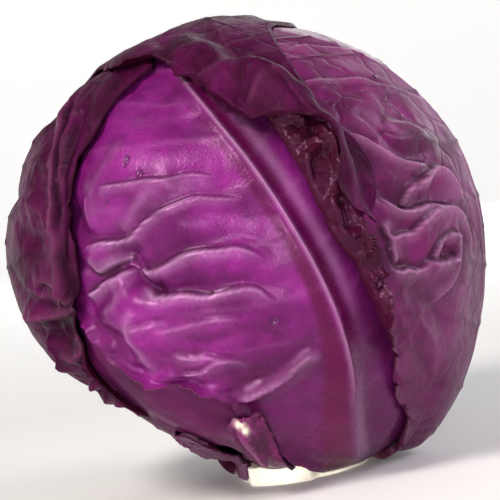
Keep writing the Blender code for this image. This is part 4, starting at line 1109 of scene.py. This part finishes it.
# %% Left leaf
add_leaf(
    {
        "name": "left_leaf",
        "seed": 400,
        "grid": (220, (46, 92), (3, 16)),
        "base": ((-148, 1.4), (-122, 1.4), (-97, 1.4)),
        "root": 4.0,
        "left": [
            (-150, -62), (-148, -48), (-144, -34), (-140, -18), (-138, 0), (-137, 18), (-134, 36),
            (-126, 52), (-100, 66), (-66, 71), (-44, 67),
        ],
        "mid": [
            (-116, -61), (-112, -46), (-104, -32), (-97, -16), (-92, 0), (-89, 16), (-84, 32), (-74, 48),
            (-56, 60), (-32, 61),
        ],
        "right": [
            (-74, -66), (-60, -58), (-49, -51), (-45, -44), (-47, -35), (-50, -27), (-52, -19),
                (-50, -11), (-48, -4), (-46, 2),
            (-46, 11), (-48, 21), (-46, 31), (-41, 40), (-35, 50), (-28, 57),
        ],
        "rib": (7.0, 12.0, 12.0),
        "spine": 0.5,
        "lift": [
            (0.0, (0.0, 0.0, 0.0, 0.0, 0.0)),
            (0.15, (-1.0, 0.0, 0.0, -2.5, -4.0)),
            (0.3, (-2.0, 0.0, 0.0, -2.0, -4.0)),
            (0.38, (-2.0, 0.0, 1.0, 0.5, -1.5)),
            (0.5, (-2.5, 0.5, 2.5, 3.0, 0.5)),
            (0.75, (-2.5, 0.5, 3.0, 4.0, 0.5)),
            (0.9, (-2.0, 0.0, 1.0, 1.5, 0.5)),
            (1.0, (-1.0, 0.0, 0.5, 0.5, 0.0)),
        ],
        "ruffle": ((0.0, 1.1), 7, 31),
        "side_veins": (12, 0.12, 0.5),
        "vein_light_and_shade": -0.45,
        "folds": [
            (2.4, 1.6, 3.5, 4.0, [(-72, 50), (-64, 43), (-58, 35), (-55, 29), (-53, 24), (-52, 18),
                (-51, 11)]),
            (4.5, 4.0, 5.0, 6.0, [(-42, -2), (-47, -5), (-53, -6), (-59, -7), (-66, -7), (-74, -6)]),
            (2.0, 1.2, 3.0, 4.0, [(-45, -1), (-48, -3), (-51, -2), (-53, 0), (-57, 2), (-62, 1)]),
            (3.0, 2.4, 3.0, 4.0, [(-47, -8), (-50, -13), (-54, -17), (-58, -18), (-64, -16)]),
            (3.0, 2.4, 3.0, 4.0, [(-50, -24), (-55, -26), (-60, -29), (-67, -30)]),
        ],
        "creases": [
            (2.5, 1.5, 3.5, [(-60, 34), (-72, 42), (-84, 44)]),
            (2.5, 1.5, 3.5, [(-58, 12), (-70, 16), (-84, 22)]),
            (3.5, 2.0, 3.5, [(-56, -4), (-66, -2), (-80, 4)]),
            (4.0, 2.5, 3.5, [(-53, -14), (-62, -12), (-74, -10)]),
            (4.0, 2.5, 3.5, [(-56, -27), (-64, -25), (-74, -28)]),
            (2.5, 1.2, 5.0, [(-94, -34), (-112, -18), (-128, 0)]),
            (2.5, 1.2, 5.0, [(-92, -4), (-108, 12), (-124, 28)]),
            (2.5, 1.2, 5.0, [(-88, 24), (-102, 38), (-118, 50)]),
            (2.5, 2.5, 2.5, [(-50, 46), (-50, 38), (-50, 28), (-50, 18), (-49, 8)]),
        ],
        "crests": [
            (1.2, 3.2, 2.6, [(-58, 58), (-57, 50), (-55, 38), (-53, 27), (-52, 15), (-51, 4), (-53, -8)]),
            (3.0, 2.0, 2.5, [(-53, -20), (-62, -18), (-72, -20)]),
            (3.0, 2.0, 2.5, [(-54, -34), (-62, -33), (-70, -38)]),
            (1.6, 1.2, 1.8, [(-53, 0), (-60, -1), (-68, 2)]),
            (1.6, 1.2, 1.8, [(-54, 16), (-60, 20), (-66, 22)]),
        ],
        "dishes": [(2.0, 5.0, (-60, -6)), (2.0, 5.0, (-60, -28))],
        # painted shade in the crevices beside the ridge and along the folds
        "shade_paths": [
            (0.9, 2.6, [(-52, 40), (-51, 31), (-49, 24), (-48, 14), (-49, 7), (-47, -1)]),
            (0.8, 2.4, [(-43, -4), (-49, -7), (-56, -9), (-64, -9), (-72, -8)]),
            (0.8, 2.4, [(-46, -12), (-52, -19), (-60, -20), (-68, -18)]),
            (0.8, 2.4, [(-50, -28), (-57, -31), (-66, -32)]),
        ],
        "wilted": [(6.0, 8.5, (-60, -18), 14), (2.2, 8.0, (-55, -33), 10), (1.6, 8.0, (-58, 20), 14),
            (1.4, 9.0, (-50, 44), 14)],
        "hem_folds": (2.6, 5.2),
        "hems": (
            flat_hem(),
            hem(
                [(0, 0), (0.2, 5), (0.34, 12), (0.42, 45), (0.47, 75), (0.52, 20), (1, 20)],
                [(0, 0.6), (0.22, 1.5), (0.34, 2), (0.44, 4), (0.52, 2), (1, 1.5)],
                radius=1.6, torn=0.6, notches=9,
            ),
        ),
    },
    wilted_leaf,
)

# %% [markdown]
# ### Top leaf
# The thinnest leaf: it comes up from the back, over the crown, and ends in a ragged front edge with a narrow
# tongue that lies on the cuff. Its front edge lifts off the leaf below and throws a thin shadow.

# %% Top leaf
add_leaf(
    {
        "name": "top_leaf",
        "seed": 500,
        "grid": (260, (72, 64), (12, 6)),
        "base": ((-162, 1.4), (180, 1.4), (136, 1.4)),
        "root": 4.0,
        "left": [
            (-162, -64), (-152, -50), (-136, -35), (-127, -18), (-123, 0), (-121, 18), (-117, 36),
            (-106, 50), (-82, 60), (-56, 60), (-42, 57), (-28, 59), (-18, 57), (-13, 52), (-8, 50),
                (-3, 45),
            (1, 41), (4, 37), (8, 34), (13, 31), (18, 29), (22, 25), (23, 19), (22, 13), (23, 8),
        ],
        "mid": [
            (178, -60), (180, -46), (182, -30), (184, -12), (186, 6), (188, 24), (190, 42), (192, 60),
            (200, 78), (5, 84), (5, 70), (7, 56), (12, 44), (17, 34), (22, 25), (24, 16), (24, 7),
        ],
        "right": [
            (140, -62), (136, -48), (130, -34), (126, -18), (124, 0), (124, 18), (124, 36), (122, 52),
            (116, 63), (88, 69), (42, 68), (29, 59), (26, 50), (25, 41), (25, 34), (28, 28), (31, 22),
            (32, 15), (30, 9), (26, 5),
        ],
        "rib": (6.0, 11.0, 11.0),
        "spine": 0.5,
        "lift": [
            (0.0, (0.0, 0.0, 0.0, 0.0, 0.0)),
            (0.06, (2.5, 1.0, 0.5, 0.0, -0.5)),
            (0.1, (2.5, 1.0, 0.5, 0.0, -0.5)),
            (0.3, (1.5, 1.0, 1.0, 1.0, 1.5)),
            (0.5, (3.0, 2.0, 1.5, 2.6, -1.5)),
            (0.6, (1.0, 1.0, 1.5, 2.2, -2.5)),
            (0.7, (1.5, 1.0, 1.0, 1.6, -1.5)),
            (0.85, (2.2, 2.0, 1.5, 2.0, 2.0)),
            (1.0, (2.0, 2.0, 2.0, 2.0, 2.0)),
        ],
        "ruffle": ((1.4, 1.0), 12, 41),
        "side_veins": (16, 0.10, 0.45),
        "vein_light_and_shade": -0.60,
        "folds": [
            (1.0, 0.6, 3.0, 4.0, [(5, 35), (8, 37), (12, 39), (18, 40), (23, 41), (28, 43)]),
            (0.8, 0.5, 3.0, 4.0, [(2, 44), (6, 45), (14, 45), (21, 46), (25, 49), (28, 50)]),
            (0.8, 0.5, 3.0, 4.0, [(-10, 48), (-6, 49), (-1, 49), (5, 50), (11, 53), (19, 54), (27, 54)]),
            (0.9, 0.6, 3.0, 4.0, [(-20, 60), (-11, 61), (1, 60), (10, 60), (20, 61), (31, 61)]),
            (1.2, 0.6, 3.0, 4.0, [(-60, 72), (-30, 71), (-13, 69), (3, 68), (19, 72)]),
        ],
        "creases": [
            (2.5, 1.2, 4.0, [(172, -34), (154, -22), (132, -8)]),
            (2.5, 1.2, 4.0, [(190, -34), (208, -22), (228, -8)]),
            (2.5, 1.2, 4.0, [(174, -8), (154, 6), (130, 20)]),
            (2.5, 1.2, 4.0, [(196, -6), (214, 8), (234, 22)]),
            (2.2, 1.0, 4.0, [(176, 20), (152, 34), (128, 46)]),
            (2.2, 1.0, 4.0, [(200, 24), (222, 38), (250, 50)]),
            (2.0, 1.0, 4.0, [(180, 48), (150, 62), (110, 74)]),
            (1.4, 0.8, 3.0, [(24, 58), (8, 58), (-10, 64), (-30, 66)]),
            (1.4, 0.8, 3.0, [(22, 48), (10, 46), (-2, 51)]),
            (1.2, 0.8, 3.0, [(20, 38), (13, 36), (8, 38)]),
        ],
        "crests": [
            (0.8, 0.5, 1.2, [(24, 60), (10, 60), (-8, 66), (-28, 68)]),
            (0.8, 0.5, 1.2, [(23, 50), (12, 48), (0, 53)]),
            (0.7, 0.5, 1.2, [(22, 40), (15, 38), (9, 40)]),
            (1.2, 1.0, 2.0, [(23, 26), (24, 20), (25, 14), (24, 9)]),
        ],
        "wilted": [(1.6, 8.0, (-28, 60), 16), (0.8, 7.0, (10, 44), 16), (0.8, 6.0, (25, 14), 10)],
        "hem_folds": (1.6, 5.2),
        "hems": (
            hem(
                [(0, 0), (0.5, 0), (0.56, -30), (0.66, -30), (0.7, 50), (0.74, 60), (0.77, 25),
                    (0.9, 40), (1, 20)],
                [(0, 0.6), (0.12, 1.5), (0.6, 1.5), (0.66, 2), (0.7, 3.5), (0.74, 3.5), (0.78, 3),
                    (0.9, 3), (1, 2)],
                radius=2.0, torn=1.9, notches=16,
            ),
            hem(
                [(0, 0), (0.45, 0), (0.52, -35), (0.8, -35), (0.88, 0), (1, 10)],
                [(0, 0.6), (0.12, 1.5), (1, 1.8)],
                torn=0.25,
            ),
        ),
    },
    wilted_leaf,
)

# %% [markdown]
# ### What is left of two outer leaves
# Below the front leaf a stalk was torn off, and beside the stem another leaf was cut away. Both are short
# thick stubs with pale broken flesh at their ends.

# %% Leaf stubs
add_leaf(
    {
        "name": "torn_leaf_base",
        "seed": 600,
        "grid": (70, (22, 22), (3, 3)),
        "base": ((-24, 7.8), (-17, 7.8), (-10, 7.8)),
        "root": 1.4,
        "left": [(-12, -57), (-13, -49), (-14, -43), (-14, -38)],
        "mid": [(-8, -57), (-9, -48), (-10, -41), (-10, -36)],
        "right": [(-3, -57), (-4, -50), (-5, -43), (-6, -36)],
        "rib": (3.0, 5.0, 5.0),
        "lift": [
            (0.0, (0.0, 0.0, 0.0, 0.0, 0.0)),
            (0.4, (0.0, 3.0, 4.2, 3.0, 0.0)),
            (0.8, (1.5, 4.5, 6.0, 4.5, 1.5)),
            (1.0, (2.5, 4.5, 5.0, 4.5, 2.5)),
        ],
        "ruffle": ((0.5, 0.5), 2, 51),
        "side_veins": (3, 0.05, 0.1),
        "crests": [(2.0, 1.6, 1.4, [(-8, -58), (-10, -52), (-12, -46), (-13, -41)])],
        "dishes": [(1.8, 1.8, (-10, -38))],
        # painted shade beside the stub's crest
        "shade_paths": [(0.7, 1.6, [(-5, -58), (-6, -52), (-8, -46), (-9, -41)])],
        "wilted": [(3.0, 3.5, (-10, -38), 5)],
        "pale_spots": [(1.1, (-11, -38.5)), (0.8, (-10, -40))],
        "hem_folds": (0.8, 5.2),
        "hems": (flat_hem(), flat_hem()),
    },
    purple_leaf,
)
add_leaf(
    {
        "name": "cut_leaf_base",
        "seed": 700,
        "grid": (70, (26, 26), (3, 3)),
        "base": ((-82, 1.0), (-72, 1.0), (-63, 1.0)),
        "root": 2.6,
        "left": [(-56, -66), (-48, -58), (-43, -50), (-41, -45)],
        "mid": [(-42, -64), (-38, -56), (-36, -49), (-37, -43)],
        "right": [(-28, -61), (-28, -53), (-30, -47), (-33, -43)],
        "rib": (2.5, 8.0, 8.0),
        "lift": [
            (0.0, (0.0, 0.0, 0.0, 0.0, 0.0)),
            (0.5, (1.0, 2.0, 2.0, 1.5, 1.0)),
            (1.0, (1.0, 1.5, 2.0, 1.5, 1.0)),
        ],
        "ruffle": ((0.5, 0.5), 2, 61),
        "side_veins": (3, 0.05, 0.2),
        "crests": [(1.2, 0.8, 1.5, [(-46, -62), (-42, -54), (-38, -47)])],
        "wilted": [(1.2, 5.0, (-36, -48), 8)],
        "hem_folds": (0.8, 5.2),
        "hems": (flat_hem(), flat_hem()),
    },
    plum_leaf,
)

# %% [markdown]
# ## Stem and inner head
# Both are solids of rings: circles of points one above the other with a flat face at each end. The stem's
# rings follow the side formula above; the inner head's follow its radius in each direction, with shallow
# wrinkles, since only slits of it show between the leaves.

# %% Ring solids
def ring_solid(name, rings):
    """A closed solid from rings of points, lowest first, with a flat face at each end."""
    count = rings.shape[1]
    index = np.arange(rings.shape[0] * count).reshape(rings.shape[:2])
    low, high = index[:-1], index[1:]
    sides = np.stack([low, np.roll(low, -1, 1), np.roll(high, -1, 1), high], -1).reshape(-1, 4)
    mesh = bpy.data.meshes.new(name)
    faces = [index[0, ::-1].tolist(), index[-1].tolist()] + sides.tolist()
    mesh.from_pydata(rings.reshape(-1, 3).tolist(), [], faces)
    return mesh


def stem_rings(sides=160):
    """Rings up the stem: bevelled cut face, uneven knife-cut side, the collar's step, and the hidden top."""
    bearing = np.linspace(0, 360, sides, endpoint=False)
    b = np.radians(bearing)
    bevel = 0.0006
    inside = [(share * STEM_RADIUS, 0.0) for share in (0.2, 0.45, 0.7, 0.9)]
    levels = [(radius + 0 * b, z) for radius, z in inside]
    levels.append((stem_side(bearing, 0.0) - bevel, 0.0))
    for z in np.linspace(bevel, COLLAR_HEIGHT - bevel, 9):
        levels.append((stem_side(bearing, z), z))
    levels.append((stem_side(bearing, COLLAR_HEIGHT + bevel), COLLAR_HEIGHT))
    for z in np.linspace(COLLAR_HEIGHT + bevel, STEM_HEIGHT - bevel, 5):
        levels.append((stem_side(bearing, STEM_HEIGHT), z))
    levels.append((stem_side(bearing, STEM_HEIGHT) - bevel, STEM_HEIGHT))
    rings = np.array([np.stack([r * np.sin(b), -r * np.cos(b), z + 0 * b], -1) for r, z in levels])
    shave = 0.25 * MM * lumps(rings, 0.006, 31) + 0.10 * MM * lumps(rings, 0.0018, 32)
    outward = unit(rings * np.array([1, 1, 0]) + 1e-9)
    on_side = (rings[..., 2] > 0.0001)[..., None]
    return rings - outward * (np.abs(shave)[..., None] * on_side)


stem_mesh = ring_solid("fine_stem", stem_rings())
elevations = np.concatenate([[-78.0], np.linspace(-68, 84, 70)])[:, None]
azimuths = -np.linspace(0, 360, 150, endpoint=False)[None, :]
ball = towards(azimuths + 0 * elevations, elevations + 0 * azimuths)
wrinkled = inner_radius(ball) - 0.6 * MM * crumpled(ball * HEAD_RADIUS, 0.014, 41)
inner_rings = (HEAD_CENTRE + ball * wrinkled[..., None])[:, ::-1]
inner_rings[0, :, 2] = INNER_HEAD_FLOOR
inner_mesh = ring_solid("fine_inner_head", inner_rings)
print("stem rings:", stem_rings().shape, "inner head rings:", inner_rings.shape)

# %% [markdown]
# ## The finish of the cut stem and the inner leaves
# The stem is wet, fibrous flesh that a knife has just cut: cream in the middle, a little green and purple at
# the rind, with fibres that run up it and a thin brown line where it has dried. The inner leaves are the
# same waxy skin as outside, but dark and plain, because no light reaches them.

# %% Stem and inner head finish
FIBRE = 0.0011
FIBRE_STRETCH = 0.18
STEM_PATCH = 1 / 180
STEM_PATCH_SHIFT = 0.0016
INNER_FOLD = 1 / 90


def cut_stem_finish():
    """Knife-cut cabbage stem: cream flesh, upright fibres, a brown dried line and a purple rind on top."""
    made, tree, shader = new_finish("knife_cut_stem")
    space = add(tree, "TexCoord", out="Object")
    stretched = add(tree, "Mapping", space, Scale=(1.0, 1.0, FIBRE_STRETCH))
    fibres = add(tree, "TexNoise", stretched, 1 / FIBRE, 3.0, 0.6)
    patches = add(tree, "TexNoise", space, 1 / STEM_PATCH, 4.0, 0.6)
    height = add(tree, "SeparateXYZ", space, out="Z")
    wavy = add(tree, "Math", patches, STEM_PATCH_SHIFT, height, operation="MULTIPLY_ADD")
    colour = linear("#FFFCF4")
    for mask, shade in (
        (add(tree, "MapRange", fibres, 0.3, 0.7), "#FAF0DC"),
        (add(tree, "MapRange", patches, 0.55, 0.75, 0.0, 0.5), "#F0E2C0"),
        (add(tree, "MapRange", wavy, 0.0072, 0.0082), "#7A4636"),
        (add(tree, "MapRange", wavy, 0.0086, 0.0096), "#5C1C40"),
    ):
        colour = add(tree, "Mix", mask, colour, linear(shade), data_type="RGBA")
    tree.links.new(colour, shader.inputs["Base Color"])
    tree.links.new(add(tree, "MapRange", fibres, 0.3, 0.7, 0.42, 0.62), shader.inputs["Roughness"])
    bump = add(tree, "Bump", Strength=0.5, Distance=0.0004, Height=fibres)
    tree.links.new(bump, shader.inputs["Normal"])
    shader.inputs["Subsurface Weight"].default_value = 0.15
    shader.inputs["Subsurface Radius"].default_value = (0.004, 0.003, 0.002)
    shader.inputs["IOR"].default_value = 1.40
    return made


def inner_leaf_finish():
    """Dark wine leaf skin with folds drawn by noise."""
    made, tree, shader = new_finish("dark_inner_leaf")
    space = add(tree, "TexCoord", out="Object")
    folds = add(tree, "TexNoise", space, 1 / INNER_FOLD, 5.0, 0.6)
    share = add(tree, "MapRange", folds, 0.35, 0.65)
    colour = add(tree, "Mix", share, linear("#2A0418"), linear("#5A1040"), data_type="RGBA")
    tree.links.new(colour, shader.inputs["Base Color"])
    tree.links.new(add(tree, "MapRange", folds, 0.3, 0.7, 0.4, 0.6), shader.inputs["Roughness"])
    bump = add(tree, "Bump", Strength=0.6, Distance=0.001, Height=folds)
    tree.links.new(bump, shader.inputs["Normal"])
    return made


add_piece(stem_mesh, cut_stem_finish(), "stem")
add_piece(inner_mesh, inner_leaf_finish(), "inner_head")

# %% [markdown]
# ## Water drops
# A few drops of water sit on the waxy front and right leaves. A drop on wax is a flattened bead: wider
# than it is high, with its underside pressed flat. Each is a small ball grid, squashed along the leaf's
# normal and sunk a little, so that it touches the leaf all round.

# %% Water drops
DROPS = [
    (front_outer, (-28, 28), 1.3, 1.9),
    (front_outer, (-24, 25), 1.4, 1.0),
    (front_outer, (3, -14), 1.8, 1.0),
    (front_outer, (-10, -5), 0.9, 1.1),
    (front_outer, (26, 2), 0.8, 1.0),
    (front_outer, (-33, 19), 0.6, 1.2),
    (right_outer, (56, 39), 0.9, 1.3),
    (right_outer, (52, 33), 0.7, 1.5),
    (right_outer, (53, 31), 0.6, 1.2),
    (right_outer, (54, 27), 0.9, 1.6),
]


def drop(grid, place, radius, stretch, rings=14, sides=28):
    """A bead on the grid's surface: x, y and z of a ball times radius, stretch and 0.55, and its faces."""
    offsets = grid - HEAD_CENTRE
    nearness = unit(offsets) @ towards(*place)
    row, column = np.unravel_index(np.argmax(nearness), nearness.shape)
    across = grid[row, column + 2] - grid[row, column - 2]
    normal = np.cross(across, grid[row + 2, column] - grid[row - 2, column])
    normal = unit(normal) * np.sign(normal @ offsets[row, column])
    side = unit(np.cross(normal, [0.3, 0.0, 1.0]))
    up = np.cross(normal, side)
    fall = np.linspace(0, np.pi, rings + 2)[1:-1, None]
    turn = np.linspace(0, 2 * np.pi, sides, endpoint=False)[None, :]
    x, y = np.sin(fall) * np.cos(turn), np.sin(fall) * np.sin(turn)
    z = np.cos(fall) + 0 * turn
    ends = [(0.0, 0.0, 1.0), (0.0, 0.0, -1.0)]
    ball_points = np.vstack([np.stack([x, y, z], -1).reshape(-1, 3), ends])
    size = radius * MM * np.array([1.0, stretch, 0.55])
    centre = grid[row, column] + normal * 0.25 * radius * MM
    points = centre + (ball_points * size) @ np.array([side, up, normal])
    index = np.arange(rings * sides).reshape(rings, sides)
    low, high = index[:-1], index[1:]
    quads = np.stack([low, high, np.roll(high, -1, 1), np.roll(low, -1, 1)], -1).reshape(-1, 4).tolist()
    first, last = index[0], index[-1]
    top = np.stack([first, np.roll(first, -1), first * 0 + rings * sides], -1)[:, ::-1].tolist()
    bottom = np.stack([last, np.roll(last, -1), last * 0 + rings * sides + 1], -1).tolist()
    return points, quads + top + bottom


def water_finish():
    """Clear water: no colour, IOR 1.33 and a mirror-smooth skin, which gives one bright point per drop."""
    made, _, shader = new_finish("clear_water")
    shader.inputs["Base Color"].default_value = linear("#F4E8F4")
    shader.inputs["Roughness"].default_value = 0.02
    shader.inputs["Transmission Weight"].default_value = 1.0
    shader.inputs["IOR"].default_value = 1.33
    return made


all_points, all_faces = [], []
for grid, place, radius, stretch in DROPS:
    points, faces = drop(grid, place, radius, stretch)
    start = sum(len(p) for p in all_points)
    all_points.append(points)
    all_faces += [[start + corner for corner in face] for face in faces]
drops_mesh = bpy.data.meshes.new("water_drops")
drops_mesh.from_pydata(np.vstack(all_points).tolist(), [], all_faces)
drops_mesh.materials.append(water_finish())
drops_mesh.shade_smooth()
water_drops = bpy.data.objects.new("water_drops", drops_mesh)
bpy.context.scene.collection.objects.link(water_drops)
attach(water_drops, "root")
print("drops:", len(DROPS), "with", len(drops_mesh.polygons), "faces")

# %% [markdown]
# ## Floor, light and camera
# The floor is a wide shallow bowl whose flat middle carries the head, so its pale colour has no horizon from
# any side. Away from the head the paper also glows a little, as a backdrop does that has its own lamps, and
# so the picture's white ground stays white without more light on the leaves.

# %% Floor
PAPER_TOOTH = 1 / 900
GLOW = 0.50
GLOW_FROM_TO = (0.30, 1.2)


def backdrop():
    """A flat disc that turns up into a wall: a quarter circle of profile, carried once round."""
    flat, bend, sides = 1.6, 0.9, 96
    turn = np.linspace(0, np.pi / 2, 16)
    radius = np.concatenate([[0.05, 0.4, 0.9, 1.3], flat + bend * np.sin(turn)])
    height = np.concatenate([[0.0] * 4, bend * (1 - np.cos(turn))])
    around = np.linspace(0, 2 * np.pi, sides, endpoint=False)
    x, y = radius[:, None] * np.cos(around), radius[:, None] * np.sin(around)
    rings = np.stack([x, y, height[:, None] + 0 * x], -1)
    index = np.arange(rings.shape[0] * sides).reshape(rings.shape[:2])
    low, high = index[:-1], index[1:]
    sides_faces = np.stack([low, high, np.roll(high, -1, 1), np.roll(low, -1, 1)], -1).reshape(-1, 4)
    mesh = bpy.data.meshes.new("floor")
    mesh.from_pydata(rings.reshape(-1, 3).tolist(), [], [index[0].tolist()] + sides_faces.tolist())
    return mesh


def floor_finish():
    """Matte white paper with a faint tooth, which glows a little away from the head."""
    made, tree, shader = new_finish("matte_white_paper")
    space = add(tree, "TexCoord", out="Object")
    tooth = add(tree, "MapRange", add(tree, "TexNoise", space, 1 / PAPER_TOOTH, 3.0), 0.3, 0.7)
    colour = add(tree, "Mix", tooth, linear("#ECEBEA"), linear("#F0EFEE"), data_type="RGBA")
    tree.links.new(colour, shader.inputs["Base Color"])
    shader.inputs["Roughness"].default_value = 0.9
    away = add(tree, "VectorMath", space, operation="LENGTH")
    shader.inputs["Emission Color"].default_value = linear("#FFFFFF")
    glow = add(tree, "MapRange", away, *GLOW_FROM_TO, 0.0, GLOW)
    tree.links.new(glow, shader.inputs["Emission Strength"])
    return made


floor_mesh = backdrop()
floor_mesh.materials.append(floor_finish())
floor_mesh.shade_smooth()
floor = bpy.data.objects.new("floor", floor_mesh)
bpy.context.scene.collection.objects.link(floor)
print("floor vertices:", len(floor_mesh.vertices))

# %% [markdown]
# ### Soft lamps
# The picture has a broad light from the upper left front that draws the pale lines along the crests, a
# weaker one from the right, and a large faint one from behind that pales the head's right rim. A low lamp in
# front opens the shadows under the head's belly, and a narrow one keeps the cut stem the brightest thing.

# %% Light
def soft_lamp(name, place, size, power, colour="#FFFFFF", target=HEAD_CENTRE.tolist(), spread=180):
    """A square area lamp at a place in metres, turned towards the head's centre or another target."""
    lamp = bpy.data.lights.new(name, "AREA")
    lamp.size = size
    lamp.energy = power
    lamp.spread = np.radians(spread)
    lamp.color = linear(colour)[:3]
    holder = bpy.data.objects.new(name, lamp)
    bpy.context.scene.collection.objects.link(holder)
    aim = Vector(target) - Vector(place)
    holder.matrix_world = Matrix.Translation(place) @ aim.to_track_quat("-Z", "Y").to_matrix().to_4x4()


soft_lamp("key_lamp", (-0.55, -0.70, 0.95), 0.34, 13.0, "#FFF8F0")
soft_lamp("right_lamp", (0.95, -0.15, 0.55), 0.50, 5.5, "#F6F6FF")
soft_lamp("low_front_lamp", (-0.25, -1.20, 0.04), 0.30, 5.5)
soft_lamp("stem_lamp", (-0.16, -0.62, 0.03), 0.10, 0.026, "#FFF8F0", (0.0, 0.0, 0.0), 12)
soft_lamp("back_lamp", (0.45, 0.95, 0.50), 0.90, 3.6)
world = bpy.data.worlds.new("bright_room")
bpy.context.scene.world = world
world.use_nodes = True
world.node_tree.nodes["Background"].inputs["Color"].default_value = linear("#FFFFFF")
world.node_tree.nodes["Background"].inputs["Strength"].default_value = 0.22
bpy.context.scene.view_settings.view_transform = "Standard"
print("lamps:", [lamp.name for lamp in bpy.data.lights])

# %% [markdown]
# ## Camera
# The view is 4 degrees above level, straight at the front, and rolled by 10 degrees, because the cut face at
# the foot slopes by that much in the picture. The head's centre falls on a named place in the 500 by 500
# frame, and the scale is what makes the head as wide there as in the picture.

# %% Camera
DISTANCE = 0.8
VIEW_ELEVATION = np.radians(4.0)
ROLL = np.radians(10.0)
HEAD_PIXEL = (248.0, 247.5)
FRAME_PIXELS = 500.0
PIXELS_PER_METRE = 2725.0

upright = Vector((0.0, np.sin(VIEW_ELEVATION), np.cos(VIEW_ELEVATION)))
forward = Vector((0.0, np.cos(VIEW_ELEVATION), -np.sin(VIEW_ELEVATION)))
sideways = Vector((1.0, 0.0, 0.0))
right_of_view = sideways * np.cos(ROLL) - upright * np.sin(ROLL)
top_of_view = sideways * np.sin(ROLL) + upright * np.cos(ROLL)
middle = Vector(HEAD_CENTRE.tolist())
middle += right_of_view * ((FRAME_PIXELS / 2 - HEAD_PIXEL[0]) / PIXELS_PER_METRE)
middle -= top_of_view * ((FRAME_PIXELS / 2 - HEAD_PIXEL[1]) / PIXELS_PER_METRE)

camera = bpy.data.cameras.new("camera")
camera.sensor_width = 36.0
camera.lens = camera.sensor_width * DISTANCE / (FRAME_PIXELS / PIXELS_PER_METRE)
holder = bpy.data.objects.new("camera", camera)
turned = Matrix((right_of_view, top_of_view, -forward)).transposed().to_4x4()
turned.translation = middle - forward * DISTANCE
holder.matrix_world = turned
bpy.context.scene.collection.objects.link(holder)
bpy.context.scene.camera = holder
print("lens:", round(camera.lens, 1), "mm")
